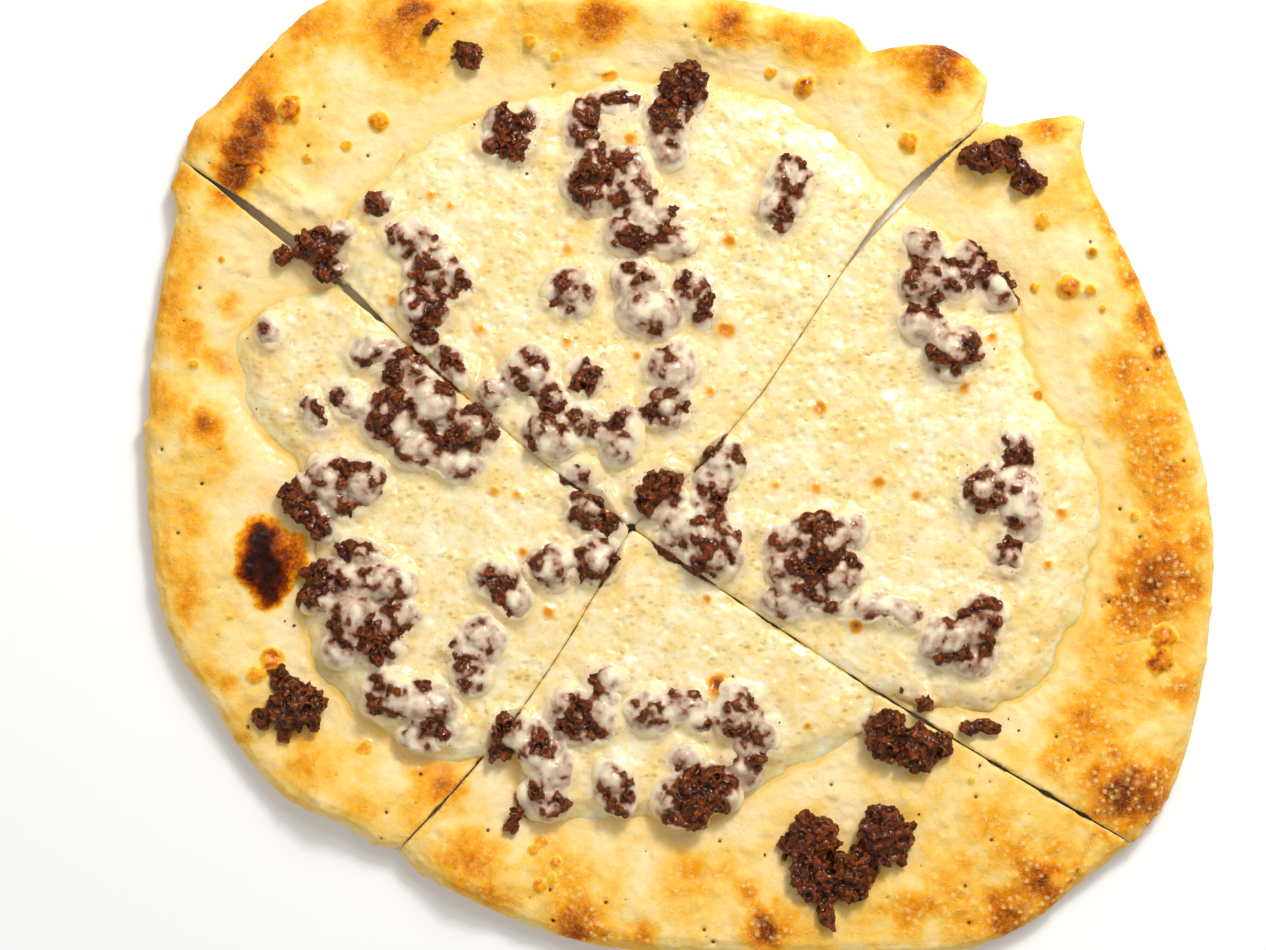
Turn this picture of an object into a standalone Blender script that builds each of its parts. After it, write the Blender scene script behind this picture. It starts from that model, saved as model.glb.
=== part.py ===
"""A manakish: an oval flatbread baked under melted cheese and lumps of minced meat.

Two knife cuts cross it and leave four slices, which still lie together. Each slice is a
bread solid with a puffed rim, and on it a sheet of cheese that ends short of the rim. The
lumps of meat lie on top. Lengths are in metres and bearings in degrees, anticlockwise
from +X as seen from above. The bread stands on z = 0, and the origin is under the middle
of its outline.
"""

import math
from collections import namedtuple

import bmesh
import bpy
from mathutils import Matrix, Vector, noise
from mathutils.bvhtree import BVHTree

CROSSING = Vector((-0.01249, -0.01486))  # where the knife cuts cross, seen from above

# Heights above the floor, and the section of the rim.
BED_HEIGHT = 0.0048  # the bread under the cheese
CREST_HEIGHT = 0.0092  # the top of the puffed rim
CREST_VARIES = 0.0014
SLOPE_BULGE = 0.7  # below 1 the slope up to the crest starts steeper
WIDEST_HEIGHT = 0.0038  # where the rim bulges out furthest
ROLL_WIDTH = 0.0056  # from the rim's crest out to its widest line
FOOT_INSET = 0.0020  # how far the foot of the rim stands in from the widest line

CHEESE_DEPTH = 0.0027
CHEESE_EDGE_DEPTH = 0.0011
CHEESE_VARIES = 0.0006
CHEESE_ROUNDING = 0.011  # how far in from its outer edge the cheese thins
CUT_ROUNDING = 0.0035  # how far in from a knife cut the cheese sags
CUT_SAG = 0.0007
WIDEST_TURN = 90  # degrees from a knife cut, beyond which it makes no difference

GAP = 0.0003  # between pieces that touch
MEAT_GAP = 0.00035  # under a lump of meat, whose facets are coarser
TIP_RADIUS = 0.0016  # each slice's tip is blunt by this much

# The net that the slices are built on.
WIDEST_COLUMN = 3.1  # degrees
BED_ROWS = 5
SLOPE_ROWS = 4
ROLL_ANGLES = (60.0, 28.0, 0.0)
CHEESE_ROWS = 8

# The lumps of meat.
MEAT_HEIGHT_SHARE = 0.66  # of the lump's width
MEAT_HEIGHT_RANGE = (0.0042, 0.0098)
MEAT_SUNK_SHARE = 0.24  # of the lump's height
MEAT_SWELL = 1.05  # makes up for the flats of its facets
MEAT_ROUGHNESS = 0.28
MEAT_BUMPS = 4.8
MEAT_BUMPS_STEP = 3.7  # apart in the noise, so that no two lumps are alike
MEAT_TRIANGLES_PER_CM2 = 25
SEAT_SPOTS = 12  # on each ring under a lump where its seat is felt for
SEAT_RINGS = (0.25, 0.5)  # shares of its measures

WAVE_LENGTH = 0.021  # of the swells in bread and cheese
RIPPLE_SHARE = 0.5  # the height of the ripples on them
RIPPLE_RATE = 2.1  # and how many there are to each swell
BREAD_SEED = 0.0
CHEESE_SEED = 5.0
ABOVE_ALL = 0.05  # a height clear over the food

MERGE = 0.00012  # points closer than this are one
FLAT_ANGLE = 0.2  # degrees: faces that turn less are one
SHARP_ANGLE = 40.0  # degrees: edges that turn more stay sharp
CM2_IN_M2 = 1e4

# A knife cut runs from the crossing to the rim. Its line leaves the straight one by bow (one
# arch) and sway (an S), to its left as seen from the crossing. It gapes most at open_at, a
# share of its reach.
Cut = namedtuple("Cut", "bearing reach bow sway opening open_at")
CUTS = {
    "north_east": Cut(48.9, 0.1448, 0.0000, -0.0035, 0.0022, 0.78),
    "north_west": Cut(140.7, 0.1577, 0.0000, 0.0016, 0.0028, 0.74),
    "south_west": Cut(234.1, 0.1083, 0.0048, 0.0000, 0.0010, 0.85),
    "south_east": Cut(327.8, 0.1609, -0.0023, 0.0000, 0.0017, 0.84),
}
CLOSED_OPENING = 0.0006  # of a cut where its two sides lie together
OPENING_SPREAD = 0.22  # share of the reach over which a cut gapes

# Each slice lies between two cuts. Its rim and the outer edge of its cheese are smooth lines
# through these points: bearing from the crossing, and distance.
Slice = namedtuple("Slice", "first_cut last_cut rim cheese_edge")
SLICES = {
    "north": Slice(
        "north_east",
        "north_west",
        (
            (48.9, 0.1452), (51.3, 0.1555), (54.0, 0.1566), (57.0, 0.1558), (60.8, 0.1490),
            (63.1, 0.1440), (65.9, 0.1478), (68.0, 0.1488), (72.0, 0.1466), (83.0, 0.1459),
            (95.0, 0.1472), (107.0, 0.1525), (120.0, 0.1649), (128.6, 0.1624),
            (134.6, 0.1607), (137.1, 0.1617), (140.7, 0.1577),
        ),
        (
            (48.9, 0.1170), (60.0, 0.1207), (75.0, 0.1245), (90.0, 0.1231), (100.0, 0.1210),
            (110.0, 0.1210), (120.0, 0.1196), (128.0, 0.1174), (135.0, 0.1160),
            (140.7, 0.1110),
        ),
    ),
    "west": Slice(
        "north_west",
        "south_west",
        (
            (140.7, 0.1575), (143.4, 0.1554), (144.9, 0.1500), (148.0, 0.1470),
            (156.4, 0.1406), (167.0, 0.1343), (168.2, 0.1358), (169.6, 0.1343),
            (180.0, 0.1305), (192.3, 0.1288), (201.3, 0.1240), (215.5, 0.1202),
            (221.2, 0.1169), (226.0, 0.1121), (231.0, 0.1108), (234.1, 0.1083),
        ),
        (
            (140.7, 0.1040), (146.3, 0.1158), (152.0, 0.1210), (160.0, 0.1152),
            (166.6, 0.1026), (172.0, 0.0905), (180.0, 0.0869), (188.0, 0.0878),
            (197.0, 0.0950), (212.0, 0.0929), (223.0, 0.0877), (231.0, 0.0829),
            (234.1, 0.0770),
        ),
    ),
    "south": Slice(
        "south_west",
        "south_east",
        (
            (234.1, 0.1078), (236.5, 0.1093), (245.0, 0.1098), (252.6, 0.1108),
            (264.9, 0.1136), (277.7, 0.1166), (290.0, 0.1242), (300.0, 0.1338),
            (309.5, 0.1469), (317.0, 0.1529), (322.0, 0.1552), (327.8, 0.1603),
        ),
        (
            (234.1, 0.0700), (239.8, 0.0715), (248.7, 0.0832), (256.6, 0.0837),
            (265.8, 0.0805), (277.0, 0.0821), (288.5, 0.0832), (299.0, 0.0794),
            (310.5, 0.0824), (319.0, 0.0850), (327.8, 0.0826),
        ),
    ),
    "east": Slice(
        "south_east",
        "north_east",
        (
            (327.8, 0.1609), (332.7, 0.1630), (339.9, 0.1618), (349.0, 0.1593),
            (359.3, 0.1576), (369.5, 0.1551), (378.4, 0.1528), (388.8, 0.1535),
            (396.2, 0.1552), (400.3, 0.1597), (401.9, 0.1654), (403.2, 0.1640),
            (405.2, 0.1560), (407.0, 0.1487), (408.9, 0.1459),
        ),
        (
            (327.8, 0.0860), (330.3, 0.1010), (334.0, 0.1134), (338.6, 0.1198),
            (346.0, 0.1247), (355.0, 0.1277), (363.3, 0.1298), (370.8, 0.1272),
            (377.4, 0.1196), (385.0, 0.1201), (392.0, 0.1218), (400.4, 0.1199),
            (408.9, 0.1160),
        ),
    ),
}

# Where the dough has blown up into a dome, flat on top over a share of its radius.
BLISTER_FLAT = 0.25
Blister = namedtuple("Blister", "x y radius height")
BLISTERS = (
    Blister(-0.1105, -0.0242, 0.0125, 0.0042),
    Blister(-0.1020, 0.0710, 0.0130, 0.0026),
    Blister(-0.1210, 0.0900, 0.0160, 0.0022),
    Blister(0.0723, 0.1087, 0.0110, 0.0026),
    Blister(0.1195, -0.0830, 0.0180, 0.0026),
    Blister(0.1276, -0.0236, 0.0190, 0.0016),
    Blister(-0.0560, -0.1073, 0.0160, 0.0018),
    Blister(0.0277, -0.1208, 0.0190, 0.0018),
    Blister(-0.0940, -0.0857, 0.0160, 0.0016),
    Blister(-0.0317, 0.1220, 0.0190, 0.0018),
    Blister(0.0169, 0.1220, 0.0170, 0.0018),
    Blister(-0.1316, 0.0142, 0.0150, 0.0012),
)

# The minced meat: each lump's place, longer and shorter measure across, and the bearing of the
# longer one. The lumps of one clump have run together.
Lump = namedtuple("Lump", "x y length width turn")
CLUMPS = {
    "north_top_left_bit": (
        Lump(-0.0665, 0.1192, 0.0081, 0.0041, 50),
    ),
    "north_top_left": (
        Lump(-0.0565, 0.1122, 0.0108, 0.0073, -10),
    ),
    "north_clover": (
        Lump(-0.0468, 0.0949, 0.0097, 0.0081, 100),
        Lump(-0.0403, 0.0949, 0.0086, 0.0070, 60),
        Lump(-0.0441, 0.0879, 0.0097, 0.0076, 0),
        Lump(-0.0490, 0.0884, 0.0065, 0.0059, 0),
    ),
    "north_hook": (
        Lump(-0.0247, 0.0946, 0.0146, 0.0076, 70),
        Lump(-0.0171, 0.1000, 0.0135, 0.0065, 5),
    ),
    "north_tall": (
        Lump(0.0018, 0.1044, 0.0140, 0.0124, 80),
        Lump(-0.0017, 0.0957, 0.0146, 0.0108, 70),
        Lump(-0.0025, 0.0876, 0.0097, 0.0070, -60),
    ),
    "north_ridge": (
        Lump(-0.0236, 0.0790, 0.0167, 0.0119, 80),
        Lump(-0.0144, 0.0833, 0.0113, 0.0081, 0),
        Lump(-0.0117, 0.0749, 0.0124, 0.0113, -45),
        Lump(-0.0117, 0.0644, 0.0146, 0.0113, 0),
        Lump(-0.0015, 0.0628, 0.0124, 0.0076, -20),
        Lump(-0.0036, 0.0690, 0.0070, 0.0059, 0),
    ),
    "north_north_east": (
        Lump(0.0304, 0.0795, 0.0124, 0.0108, 70),
        Lump(0.0277, 0.0717, 0.0119, 0.0097, 60),
    ),
    "north_middle": (
        Lump(-0.0109, 0.0517, 0.0119, 0.0103, 0),
        Lump(-0.0074, 0.0431, 0.0157, 0.0108, -20),
    ),
    "north_middle_east": (
        Lump(0.0048, 0.0474, 0.0140, 0.0086, 120),
    ),
    "north_middle_west": (
        Lump(-0.0290, 0.0485, 0.0124, 0.0103, 20),
    ),
    "north_column": (
        Lump(-0.0714, 0.0628, 0.0140, 0.0086, -10),
        Lump(-0.0663, 0.0547, 0.0130, 0.0119, 60),
        Lump(-0.0679, 0.0450, 0.0135, 0.0124, 100),
        Lump(-0.0606, 0.0509, 0.0097, 0.0086, 0),
        Lump(-0.0687, 0.0371, 0.0081, 0.0065, 80),
    ),
    "north_west_edge": (
        Lump(-0.0970, 0.0612, 0.0119, 0.0103, 0),
        Lump(-0.0949, 0.0552, 0.0092, 0.0076, 110),
        Lump(-0.0919, 0.0644, 0.0065, 0.0059, 0),
    ),
    "north_faint": (
        Lump(-0.0808, 0.0722, 0.0076, 0.0059, 0),
    ),
    "north_cut_side": (
        Lump(-0.0609, 0.0285, 0.0119, 0.0065, -55),
    ),
    "north_centre": (
        Lump(-0.0398, 0.0271, 0.0135, 0.0103, 30),
        Lump(-0.0344, 0.0196, 0.0124, 0.0076, -62),
        Lump(-0.0339, 0.0104, 0.0140, 0.0113, 0),
        Lump(-0.0244, 0.0131, 0.0108, 0.0086, -20),
        Lump(-0.0198, 0.0115, 0.0076, 0.0070, 0),
        Lump(-0.0152, 0.0099, 0.0151, 0.0092, 75),
    ),
    "north_centre_west": (
        Lump(-0.0498, 0.0220, 0.0073, 0.0062, 0),
    ),
    "north_centre_top": (
        Lump(-0.0249, 0.0258, 0.0092, 0.0084, 90),
    ),
    "north_centre_low": (
        Lump(-0.0260, -0.0009, 0.0076, 0.0059, 0),
    ),
    "north_pair": (
        Lump(-0.0017, 0.0279, 0.0124, 0.0108, 90),
        Lump(-0.0033, 0.0177, 0.0130, 0.0097, 0),
    ),
    "west_bead": (
        Lump(-0.1062, 0.0590, 0.0054, 0.0054, 0),
    ),
    "west_crumb": (
        Lump(-0.1100, 0.0385, 0.0070, 0.0054, 100),
    ),
    "west_cluster": (
        Lump(-0.0822, 0.0317, 0.0124, 0.0076, 5),
        Lump(-0.0744, 0.0269, 0.0130, 0.0108, 60),
        Lump(-0.0776, 0.0158, 0.0157, 0.0119, 80),
        Lump(-0.0660, 0.0182, 0.0146, 0.0130, 45),
        Lump(-0.0555, 0.0112, 0.0162, 0.0119, 30),
        Lump(-0.0684, 0.0061, 0.0162, 0.0092, -10),
        Lump(-0.0587, 0.0023, 0.0097, 0.0076, 0),
    ),
    "west_small": (
        Lump(-0.0887, 0.0188, 0.0097, 0.0070, -20),
    ),
    "west_seed": (
        Lump(-0.0976, 0.0158, 0.0089, 0.0043, -55),
    ),
    "west_upper": (
        Lump(-0.1019, -0.0074, 0.0130, 0.0113, -60),
        Lump(-0.0970, -0.0134, 0.0097, 0.0070, -60),
        Lump(-0.0933, -0.0015, 0.0135, 0.0113, 20),
        Lump(-0.0852, -0.0020, 0.0113, 0.0119, 80),
        Lump(-0.0900, -0.0085, 0.0081, 0.0076, 0),
    ),
    "west_lower": (
        Lump(-0.0960, -0.0304, 0.0135, 0.0103, 70),
        Lump(-0.0854, -0.0223, 0.0113, 0.0086, 0),
        Lump(-0.0870, -0.0296, 0.0124, 0.0097, 0),
        Lump(-0.0781, -0.0301, 0.0124, 0.0103, 0),
        Lump(-0.0879, -0.0393, 0.0146, 0.0119, 80),
        Lump(-0.0806, -0.0458, 0.0130, 0.0113, 30),
        Lump(-0.0908, -0.0477, 0.0081, 0.0065, 0),
        Lump(-0.0749, -0.0387, 0.0097, 0.0081, 90),
    ),
    "west_outer": (
        Lump(-0.1024, -0.0625, 0.0162, 0.0140, 0),
        Lump(-0.1078, -0.0552, 0.0081, 0.0059, 100),
        Lump(-0.1111, -0.0663, 0.0076, 0.0049, 0),
        Lump(-0.1054, -0.0706, 0.0054, 0.0054, 0),
    ),
    "west_south": (
        Lump(-0.0781, -0.0601, 0.0130, 0.0119, 0),
        Lump(-0.0679, -0.0630, 0.0162, 0.0119, -10),
        Lump(-0.0692, -0.0709, 0.0124, 0.0076, 10),
        Lump(-0.0625, -0.0693, 0.0070, 0.0054, 40),
    ),
    "west_slim": (
        Lump(-0.0525, -0.0452, 0.0113, 0.0081, 100),
        Lump(-0.0560, -0.0533, 0.0119, 0.0092, 80),
        Lump(-0.0579, -0.0479, 0.0076, 0.0065, 0),
    ),
    "west_inner": (
        Lump(-0.0484, -0.0298, 0.0124, 0.0092, -45),
        Lump(-0.0444, -0.0347, 0.0086, 0.0081, -60),
    ),
    "west_veiled": (
        Lump(-0.0349, -0.0258, 0.0113, 0.0103, 0),
        Lump(-0.0287, -0.0242, 0.0070, 0.0070, 0),
        Lump(-0.0222, -0.0236, 0.0140, 0.0097, 25),
    ),
    "west_centre": (
        Lump(-0.0239, -0.0101, 0.0119, 0.0108, 90),
        Lump(-0.0195, -0.0134, 0.0076, 0.0065, -45),
    ),
    "east_corner": (
        Lump(0.0809, 0.0844, 0.0092, 0.0092, 0),
        Lump(0.0863, 0.0860, 0.0124, 0.0092, 20),
        Lump(0.0912, 0.0822, 0.0076, 0.0049, -30),
        Lump(0.0952, 0.0779, 0.0092, 0.0065, -10),
    ),
    "east_north": (
        Lump(0.0666, 0.0612, 0.0108, 0.0092, 110),
        Lump(0.0669, 0.0509, 0.0130, 0.0119, 60),
        Lump(0.0741, 0.0525, 0.0113, 0.0113, 0),
        Lump(0.0806, 0.0558, 0.0113, 0.0092, -50),
        Lump(0.0863, 0.0504, 0.0113, 0.0097, -40),
        Lump(0.0658, 0.0414, 0.0103, 0.0097, 0),
        Lump(0.0701, 0.0377, 0.0076, 0.0065, -40),
        Lump(0.0747, 0.0325, 0.0146, 0.0119, 10),
    ),
    "east_east": (
        Lump(0.0912, 0.0053, 0.0119, 0.0076, 100),
        Lump(0.0882, -0.0004, 0.0081, 0.0070, 0),
        Lump(0.0925, -0.0090, 0.0178, 0.0103, 95),
        Lump(0.0831, -0.0047, 0.0140, 0.0113, 45),
        Lump(0.0903, -0.0185, 0.0076, 0.0059, 100),
        Lump(0.0895, -0.0225, 0.0086, 0.0059, 90),
    ),
    "east_tail": (
        Lump(0.0129, 0.0039, 0.0103, 0.0092, 0),
        Lump(0.0112, -0.0009, 0.0070, 0.0070, 90),
        Lump(0.0091, -0.0072, 0.0135, 0.0097, 90),
        Lump(0.0093, -0.0196, 0.0178, 0.0157, 80),
        Lump(0.0010, -0.0139, 0.0119, 0.0086, -20),
        Lump(-0.0052, -0.0053, 0.0151, 0.0124, 45),
        Lump(-0.0009, -0.0185, 0.0076, 0.0065, 0),
    ),
    "east_inner": (
        Lump(0.0377, -0.0188, 0.0173, 0.0146, 30),
        Lump(0.0331, -0.0271, 0.0167, 0.0135, -30),
        Lump(0.0431, -0.0269, 0.0119, 0.0108, 60),
        Lump(0.0285, -0.0347, 0.0103, 0.0076, -20),
        Lump(0.0455, -0.0158, 0.0081, 0.0076, 0),
        Lump(0.0288, -0.0185, 0.0086, 0.0070, 30),
        Lump(0.0390, -0.0339, 0.0119, 0.0065, -10),
    ),
    "east_chain": (
        Lump(0.0520, -0.0360, 0.0119, 0.0059, 20),
        Lump(0.0612, -0.0377, 0.0108, 0.0065, -20),
        Lump(0.0571, -0.0366, 0.0054, 0.0049, 0),
    ),
    "east_south": (
        Lump(0.0817, -0.0404, 0.0140, 0.0124, 60),
        Lump(0.0733, -0.0458, 0.0146, 0.0119, 0),
        Lump(0.0790, -0.0495, 0.0119, 0.0076, 0),
    ),
    "east_cut_side": (
        Lump(0.0795, -0.0687, 0.0070, 0.0054, 20),
        Lump(0.0841, -0.0687, 0.0103, 0.0065, -25),
    ),
    "south_pink": (
        Lump(0.0660, -0.0622, 0.0081, 0.0038, -32),
    ),
    "south_cut_side": (
        Lump(0.0569, -0.0714, 0.0151, 0.0119, 100),
        Lump(0.0647, -0.0741, 0.0146, 0.0135, 0),
        Lump(0.0706, -0.0736, 0.0086, 0.0070, 20),
    ),
    "south_heart": (
        Lump(0.0363, -0.0992, 0.0157, 0.0151, 60),
        Lump(0.0369, -0.1089, 0.0140, 0.0130, -60),
        Lump(0.0404, -0.1181, 0.0113, 0.0065, -70),
        Lump(0.0466, -0.1089, 0.0140, 0.0130, 0),
        Lump(0.0558, -0.0981, 0.0167, 0.0146, 70),
        Lump(0.0512, -0.1038, 0.0097, 0.0086, -45),
        Lump(0.0301, -0.1014, 0.0070, 0.0059, 0),
    ),
    "south_round": (
        Lump(0.0034, -0.0884, 0.0178, 0.0151, 20),
        Lump(0.0099, -0.0857, 0.0130, 0.0130, 0),
        Lump(0.0031, -0.0790, 0.0097, 0.0070, 120),
        Lump(0.0158, -0.0647, 0.0124, 0.0113, 60),
        Lump(0.0207, -0.0728, 0.0113, 0.0097, 80),
        Lump(0.0172, -0.0798, 0.0108, 0.0076, 0),
    ),
    "south_bridge": (
        Lump(-0.0069, -0.0647, 0.0119, 0.0097, 0),
        Lump(0.0012, -0.0625, 0.0119, 0.0065, 10),
        Lump(0.0058, -0.0663, 0.0081, 0.0054, -50),
    ),
    "south_mid_west": (
        Lump(-0.0282, -0.0652, 0.0135, 0.0113, 90),
        Lump(-0.0214, -0.0657, 0.0124, 0.0086, 80),
        Lump(-0.0195, -0.0595, 0.0070, 0.0059, 90),
        Lump(-0.0190, -0.0558, 0.0103, 0.0065, 0),
    ),
    "south_west": (
        Lump(-0.0449, -0.0698, 0.0119, 0.0103, -20),
        Lump(-0.0376, -0.0738, 0.0130, 0.0103, -30),
        Lump(-0.0336, -0.0814, 0.0124, 0.0086, 100),
        Lump(-0.0355, -0.0884, 0.0130, 0.0086, -15),
        Lump(-0.0476, -0.0747, 0.0097, 0.0065, 40),
    ),
    "south_shred": (
        Lump(-0.0441, -0.0933, 0.0076, 0.0041, 80),
    ),
    "south_oval": (
        Lump(-0.0166, -0.0855, 0.0157, 0.0097, -70),
    ),
}

Finish = namedtuple("Finish", "colour roughness")
FINISHES = {
    "bread": Finish((0.80, 0.58, 0.30, 1.0), 0.75),
    "cheese": Finish((0.90, 0.80, 0.52, 1.0), 0.35),
    "meat": Finish((0.13, 0.052, 0.028, 1.0), 0.45),
}


def clear_scene():
    """Takes every object out of the scene."""
    for obj in list(bpy.data.objects):
        bpy.data.objects.remove(obj, do_unlink=True)


def material_of(kind):
    """The material of bread, cheese or meat, made the first time it is asked for."""
    material = bpy.data.materials.get(kind)
    if material is None:
        material = bpy.data.materials.new(kind)
        material.use_nodes = True
        shader = material.node_tree.nodes["Principled BSDF"]
        shader.inputs["Base Color"].default_value = FINISHES[kind].colour
        shader.inputs["Roughness"].default_value = FINISHES[kind].roughness
        shader.inputs["Metallic"].default_value = 0.0
    return material


def smoothstep(share):
    """A share from 0 to 1 that starts and ends gently."""
    share = min(max(share, 0.0), 1.0)
    return share * share * (3 - 2 * share)


def along_line(points, bearing):
    """The distance at a bearing, on a smooth line through points of bearing and distance."""
    last = len(points) - 1
    i = max(0, min(last - 1, sum(1 for b, _ in points if b <= bearing) - 1))

    def slope_at(k):
        low, high = points[max(k - 1, 0)], points[min(k + 1, last)]
        return (high[1] - low[1]) / (high[0] - low[0])

    (b0, d0), (b1, d1) = points[i], points[i + 1]
    span = b1 - b0
    s = (bearing - b0) / span
    start, end = slope_at(i) * span, slope_at(i + 1) * span
    return (
        d0 * (2 * s**3 - 3 * s**2 + 1)
        + start * (s**3 - 2 * s**2 + s)
        + d1 * (3 * s**2 - 2 * s**3)
        + end * (s**3 - s**2)
    )


def columns_of(piece):
    """The bearings of the net's columns: one through each point of the rim, and more between."""
    bearings = [piece.rim[0][0]]
    for (low, _), (high, _) in zip(piece.rim, piece.rim[1:]):
        steps = math.ceil((high - low) / WIDEST_COLUMN)
        bearings += [low + (high - low) * k / steps for k in range(1, steps + 1)]
    return bearings


def direction(bearing):
    """The unit vector at a bearing."""
    angle = math.radians(bearing)
    return Vector((math.cos(angle), math.sin(angle)))


def line_offset(cut, distance):
    """How far to its left a cut's line lies from the straight one."""
    share = min(max(distance / cut.reach, 0.0), 1.0)
    return cut.bow * math.sin(math.pi * share) + cut.sway * math.sin(2 * math.pi * share)


def half_opening(cut, distance):
    """How far each side of a cut stands from its line."""
    share = distance / cut.reach
    gape = math.exp(-(((share - cut.open_at) / OPENING_SPREAD) ** 2))
    return (CLOSED_OPENING + (cut.opening - CLOSED_OPENING) * gape) / 2


def plan(piece, bearing, distance, parted=True):
    """The point seen from above. With parted False the slices run just past the cuts' lines."""
    first, last = CUTS[piece.first_cut], CUTS[piece.last_cut]
    span = piece.rim[-1][0] - piece.rim[0][0]
    share = (bearing - piece.rim[0][0]) / span
    point = CROSSING + direction(bearing) * distance
    for cut, weight, side in ((first, (1 - share) ** 3, 1), (last, share**3, -1)):
        half = half_opening(cut, distance) if parted else -GAP
        left = direction(cut.bearing + 90)
        point = point + left * weight * (line_offset(cut, distance) + side * half)
    return point


def swell(point, height, seed):
    """A soft rise or dip of the surface, the same wherever it is asked for."""
    place = Vector((point.x / WAVE_LENGTH, point.y / WAVE_LENGTH, seed))
    return height * (noise.noise(place) + RIPPLE_SHARE * noise.noise(place * RIPPLE_RATE))


def blister_rise(point):
    """What the blisters add to the bread's height."""
    rise = 0.0
    for blister in BLISTERS:
        reach = (point - Vector((blister.x, blister.y))).length / blister.radius
        down = smoothstep((reach - BLISTER_FLAT) / (1 - BLISTER_FLAT))
        rise = max(rise, blister.height * (1 - down))
    return rise


def bread_rows(piece, bearing, tip=TIP_RADIUS):
    """The net's rows on the bread: distance from the crossing, and share of the way up the rim."""
    rim = along_line(piece.rim, bearing)
    edge = along_line(piece.cheese_edge, bearing)
    crest = rim - ROLL_WIDTH
    rows = [(tip + (edge - tip) * k / BED_ROWS, 0.0) for k in range(BED_ROWS + 1)]
    for k in range(1, SLOPE_ROWS + 1):
        share = k / SLOPE_ROWS
        rows.append((edge + (crest - edge) * share, smoothstep(share**SLOPE_BULGE)))
    for angle in ROLL_ANGLES:
        out = math.cos(math.radians(angle))
        up = WIDEST_HEIGHT + (CREST_HEIGHT - WIDEST_HEIGHT) * math.sin(math.radians(angle))
        rows.append((crest + ROLL_WIDTH * out, (up - BED_HEIGHT) / (CREST_HEIGHT - BED_HEIGHT)))
    return rows


def bread_top(piece, bearing, row, parted=True):
    """A point of the bread's upper side."""
    tip = TIP_RADIUS if parted else GAP
    distance, share = bread_rows(piece, bearing, tip)[row]
    point = plan(piece, bearing, distance, parted)
    height = BED_HEIGHT + (CREST_HEIGHT - BED_HEIGHT) * share
    if share > 0:
        height += share * (swell(point, CREST_VARIES, BREAD_SEED) + blister_rise(point))
    return Vector((point.x, point.y, height))


def bread_floor(piece, bearing, row):
    """The point of the bread's underside that belongs to the same place of the net."""
    distance = bread_rows(piece, bearing)[row][0]
    rim = along_line(piece.rim, bearing)
    point = plan(piece, bearing, distance * (rim - FOOT_INSET) / rim)
    return Vector((point.x, point.y, 0.0))


def cheese_distance(piece, bearing, row, tip=TIP_RADIUS):
    """How far from the crossing a row of the net on the cheese lies; the last is its edge."""
    edge = along_line(piece.cheese_edge, bearing) - GAP
    share = math.sin(row / (CHEESE_ROWS - 1) * math.pi / 2)
    return tip + (edge - tip) * share


def cheese_top(piece, bearing, row, parted=True):
    """A point of the cheese's upper side, which thins to its edge and sags at the cuts."""
    distance = cheese_distance(piece, bearing, row, TIP_RADIUS if parted else GAP)
    edge = cheese_distance(piece, bearing, CHEESE_ROWS - 1)
    point = plan(piece, bearing, distance, parted)
    inside = smoothstep((edge - distance) / CHEESE_ROUNDING)
    depth = CHEESE_EDGE_DEPTH + (CHEESE_DEPTH - CHEESE_EDGE_DEPTH) * inside
    depth += inside * swell(point, CHEESE_VARIES, CHEESE_SEED)
    from_ends = min(bearing - piece.rim[0][0], piece.rim[-1][0] - bearing)
    from_cut = distance * math.sin(math.radians(min(from_ends, WIDEST_TURN)))
    depth -= CUT_SAG * inside * (1 - smoothstep(from_cut / CUT_ROUNDING))
    return Vector((point.x, point.y, BED_HEIGHT + GAP + depth))


def cheese_floor(piece, bearing, row):
    """A point of the cheese's flat underside."""
    point = plan(piece, bearing, cheese_distance(piece, bearing, row))
    return Vector((point.x, point.y, BED_HEIGHT + GAP))


def net_mesh(name, bearings, rows, top, floor):
    """A closed solid from a grid: its upper side is shaped by top, and its underside by floor."""
    bm = bmesh.new()
    bmesh.ops.create_grid(
        bm, x_segments=len(bearings) - 1, y_segments=rows - 1, size=0.5
    )
    column_of = bm.verts.layers.int.new("column")
    row_of = bm.verts.layers.int.new("row")
    for vert in bm.verts:
        vert[column_of] = round((vert.co.x + 0.5) * (len(bearings) - 1))
        vert[row_of] = round((vert.co.y + 0.5) * (rows - 1))
    lower = set(bm.verts)
    bmesh.ops.extrude_face_region(bm, geom=list(bm.faces))
    for vert in bm.verts:
        shape = floor if vert in lower else top
        vert.co = shape(bearings[vert[column_of]], vert[row_of])
    bmesh.ops.remove_doubles(bm, verts=list(bm.verts), dist=MERGE)
    bmesh.ops.recalc_face_normals(bm, faces=list(bm.faces))
    if bm.calc_volume(signed=True) < 0:
        bmesh.ops.reverse_faces(bm, faces=list(bm.faces))
    bmesh.ops.dissolve_limit(
        bm, angle_limit=math.radians(FLAT_ANGLE), verts=list(bm.verts), edges=list(bm.edges)
    )
    bmesh.ops.triangulate(bm, faces=list(bm.faces))
    mesh = bpy.data.meshes.new(name)
    bm.to_mesh(mesh)
    bm.free()
    return mesh


def place(name, mesh, kind, collection):
    """A named object of one kind of food, in its collection."""
    mesh.materials.clear()
    mesh.materials.append(material_of(kind))
    mesh.shade_smooth()
    mesh.set_sharp_from_angle(angle=math.radians(SHARP_ANGLE))
    obj = bpy.data.objects.new(name, mesh)
    collection.objects.link(obj)
    return obj


def make_bread(name, piece, collection):
    """The bread of one slice."""
    rows = BED_ROWS + 1 + SLOPE_ROWS + len(ROLL_ANGLES)
    mesh = net_mesh(
        name,
        columns_of(piece),
        rows,
        lambda bearing, row: bread_top(piece, bearing, row),
        lambda bearing, row: bread_floor(piece, bearing, row),
    )
    return place(name, mesh, "bread", collection)


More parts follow.
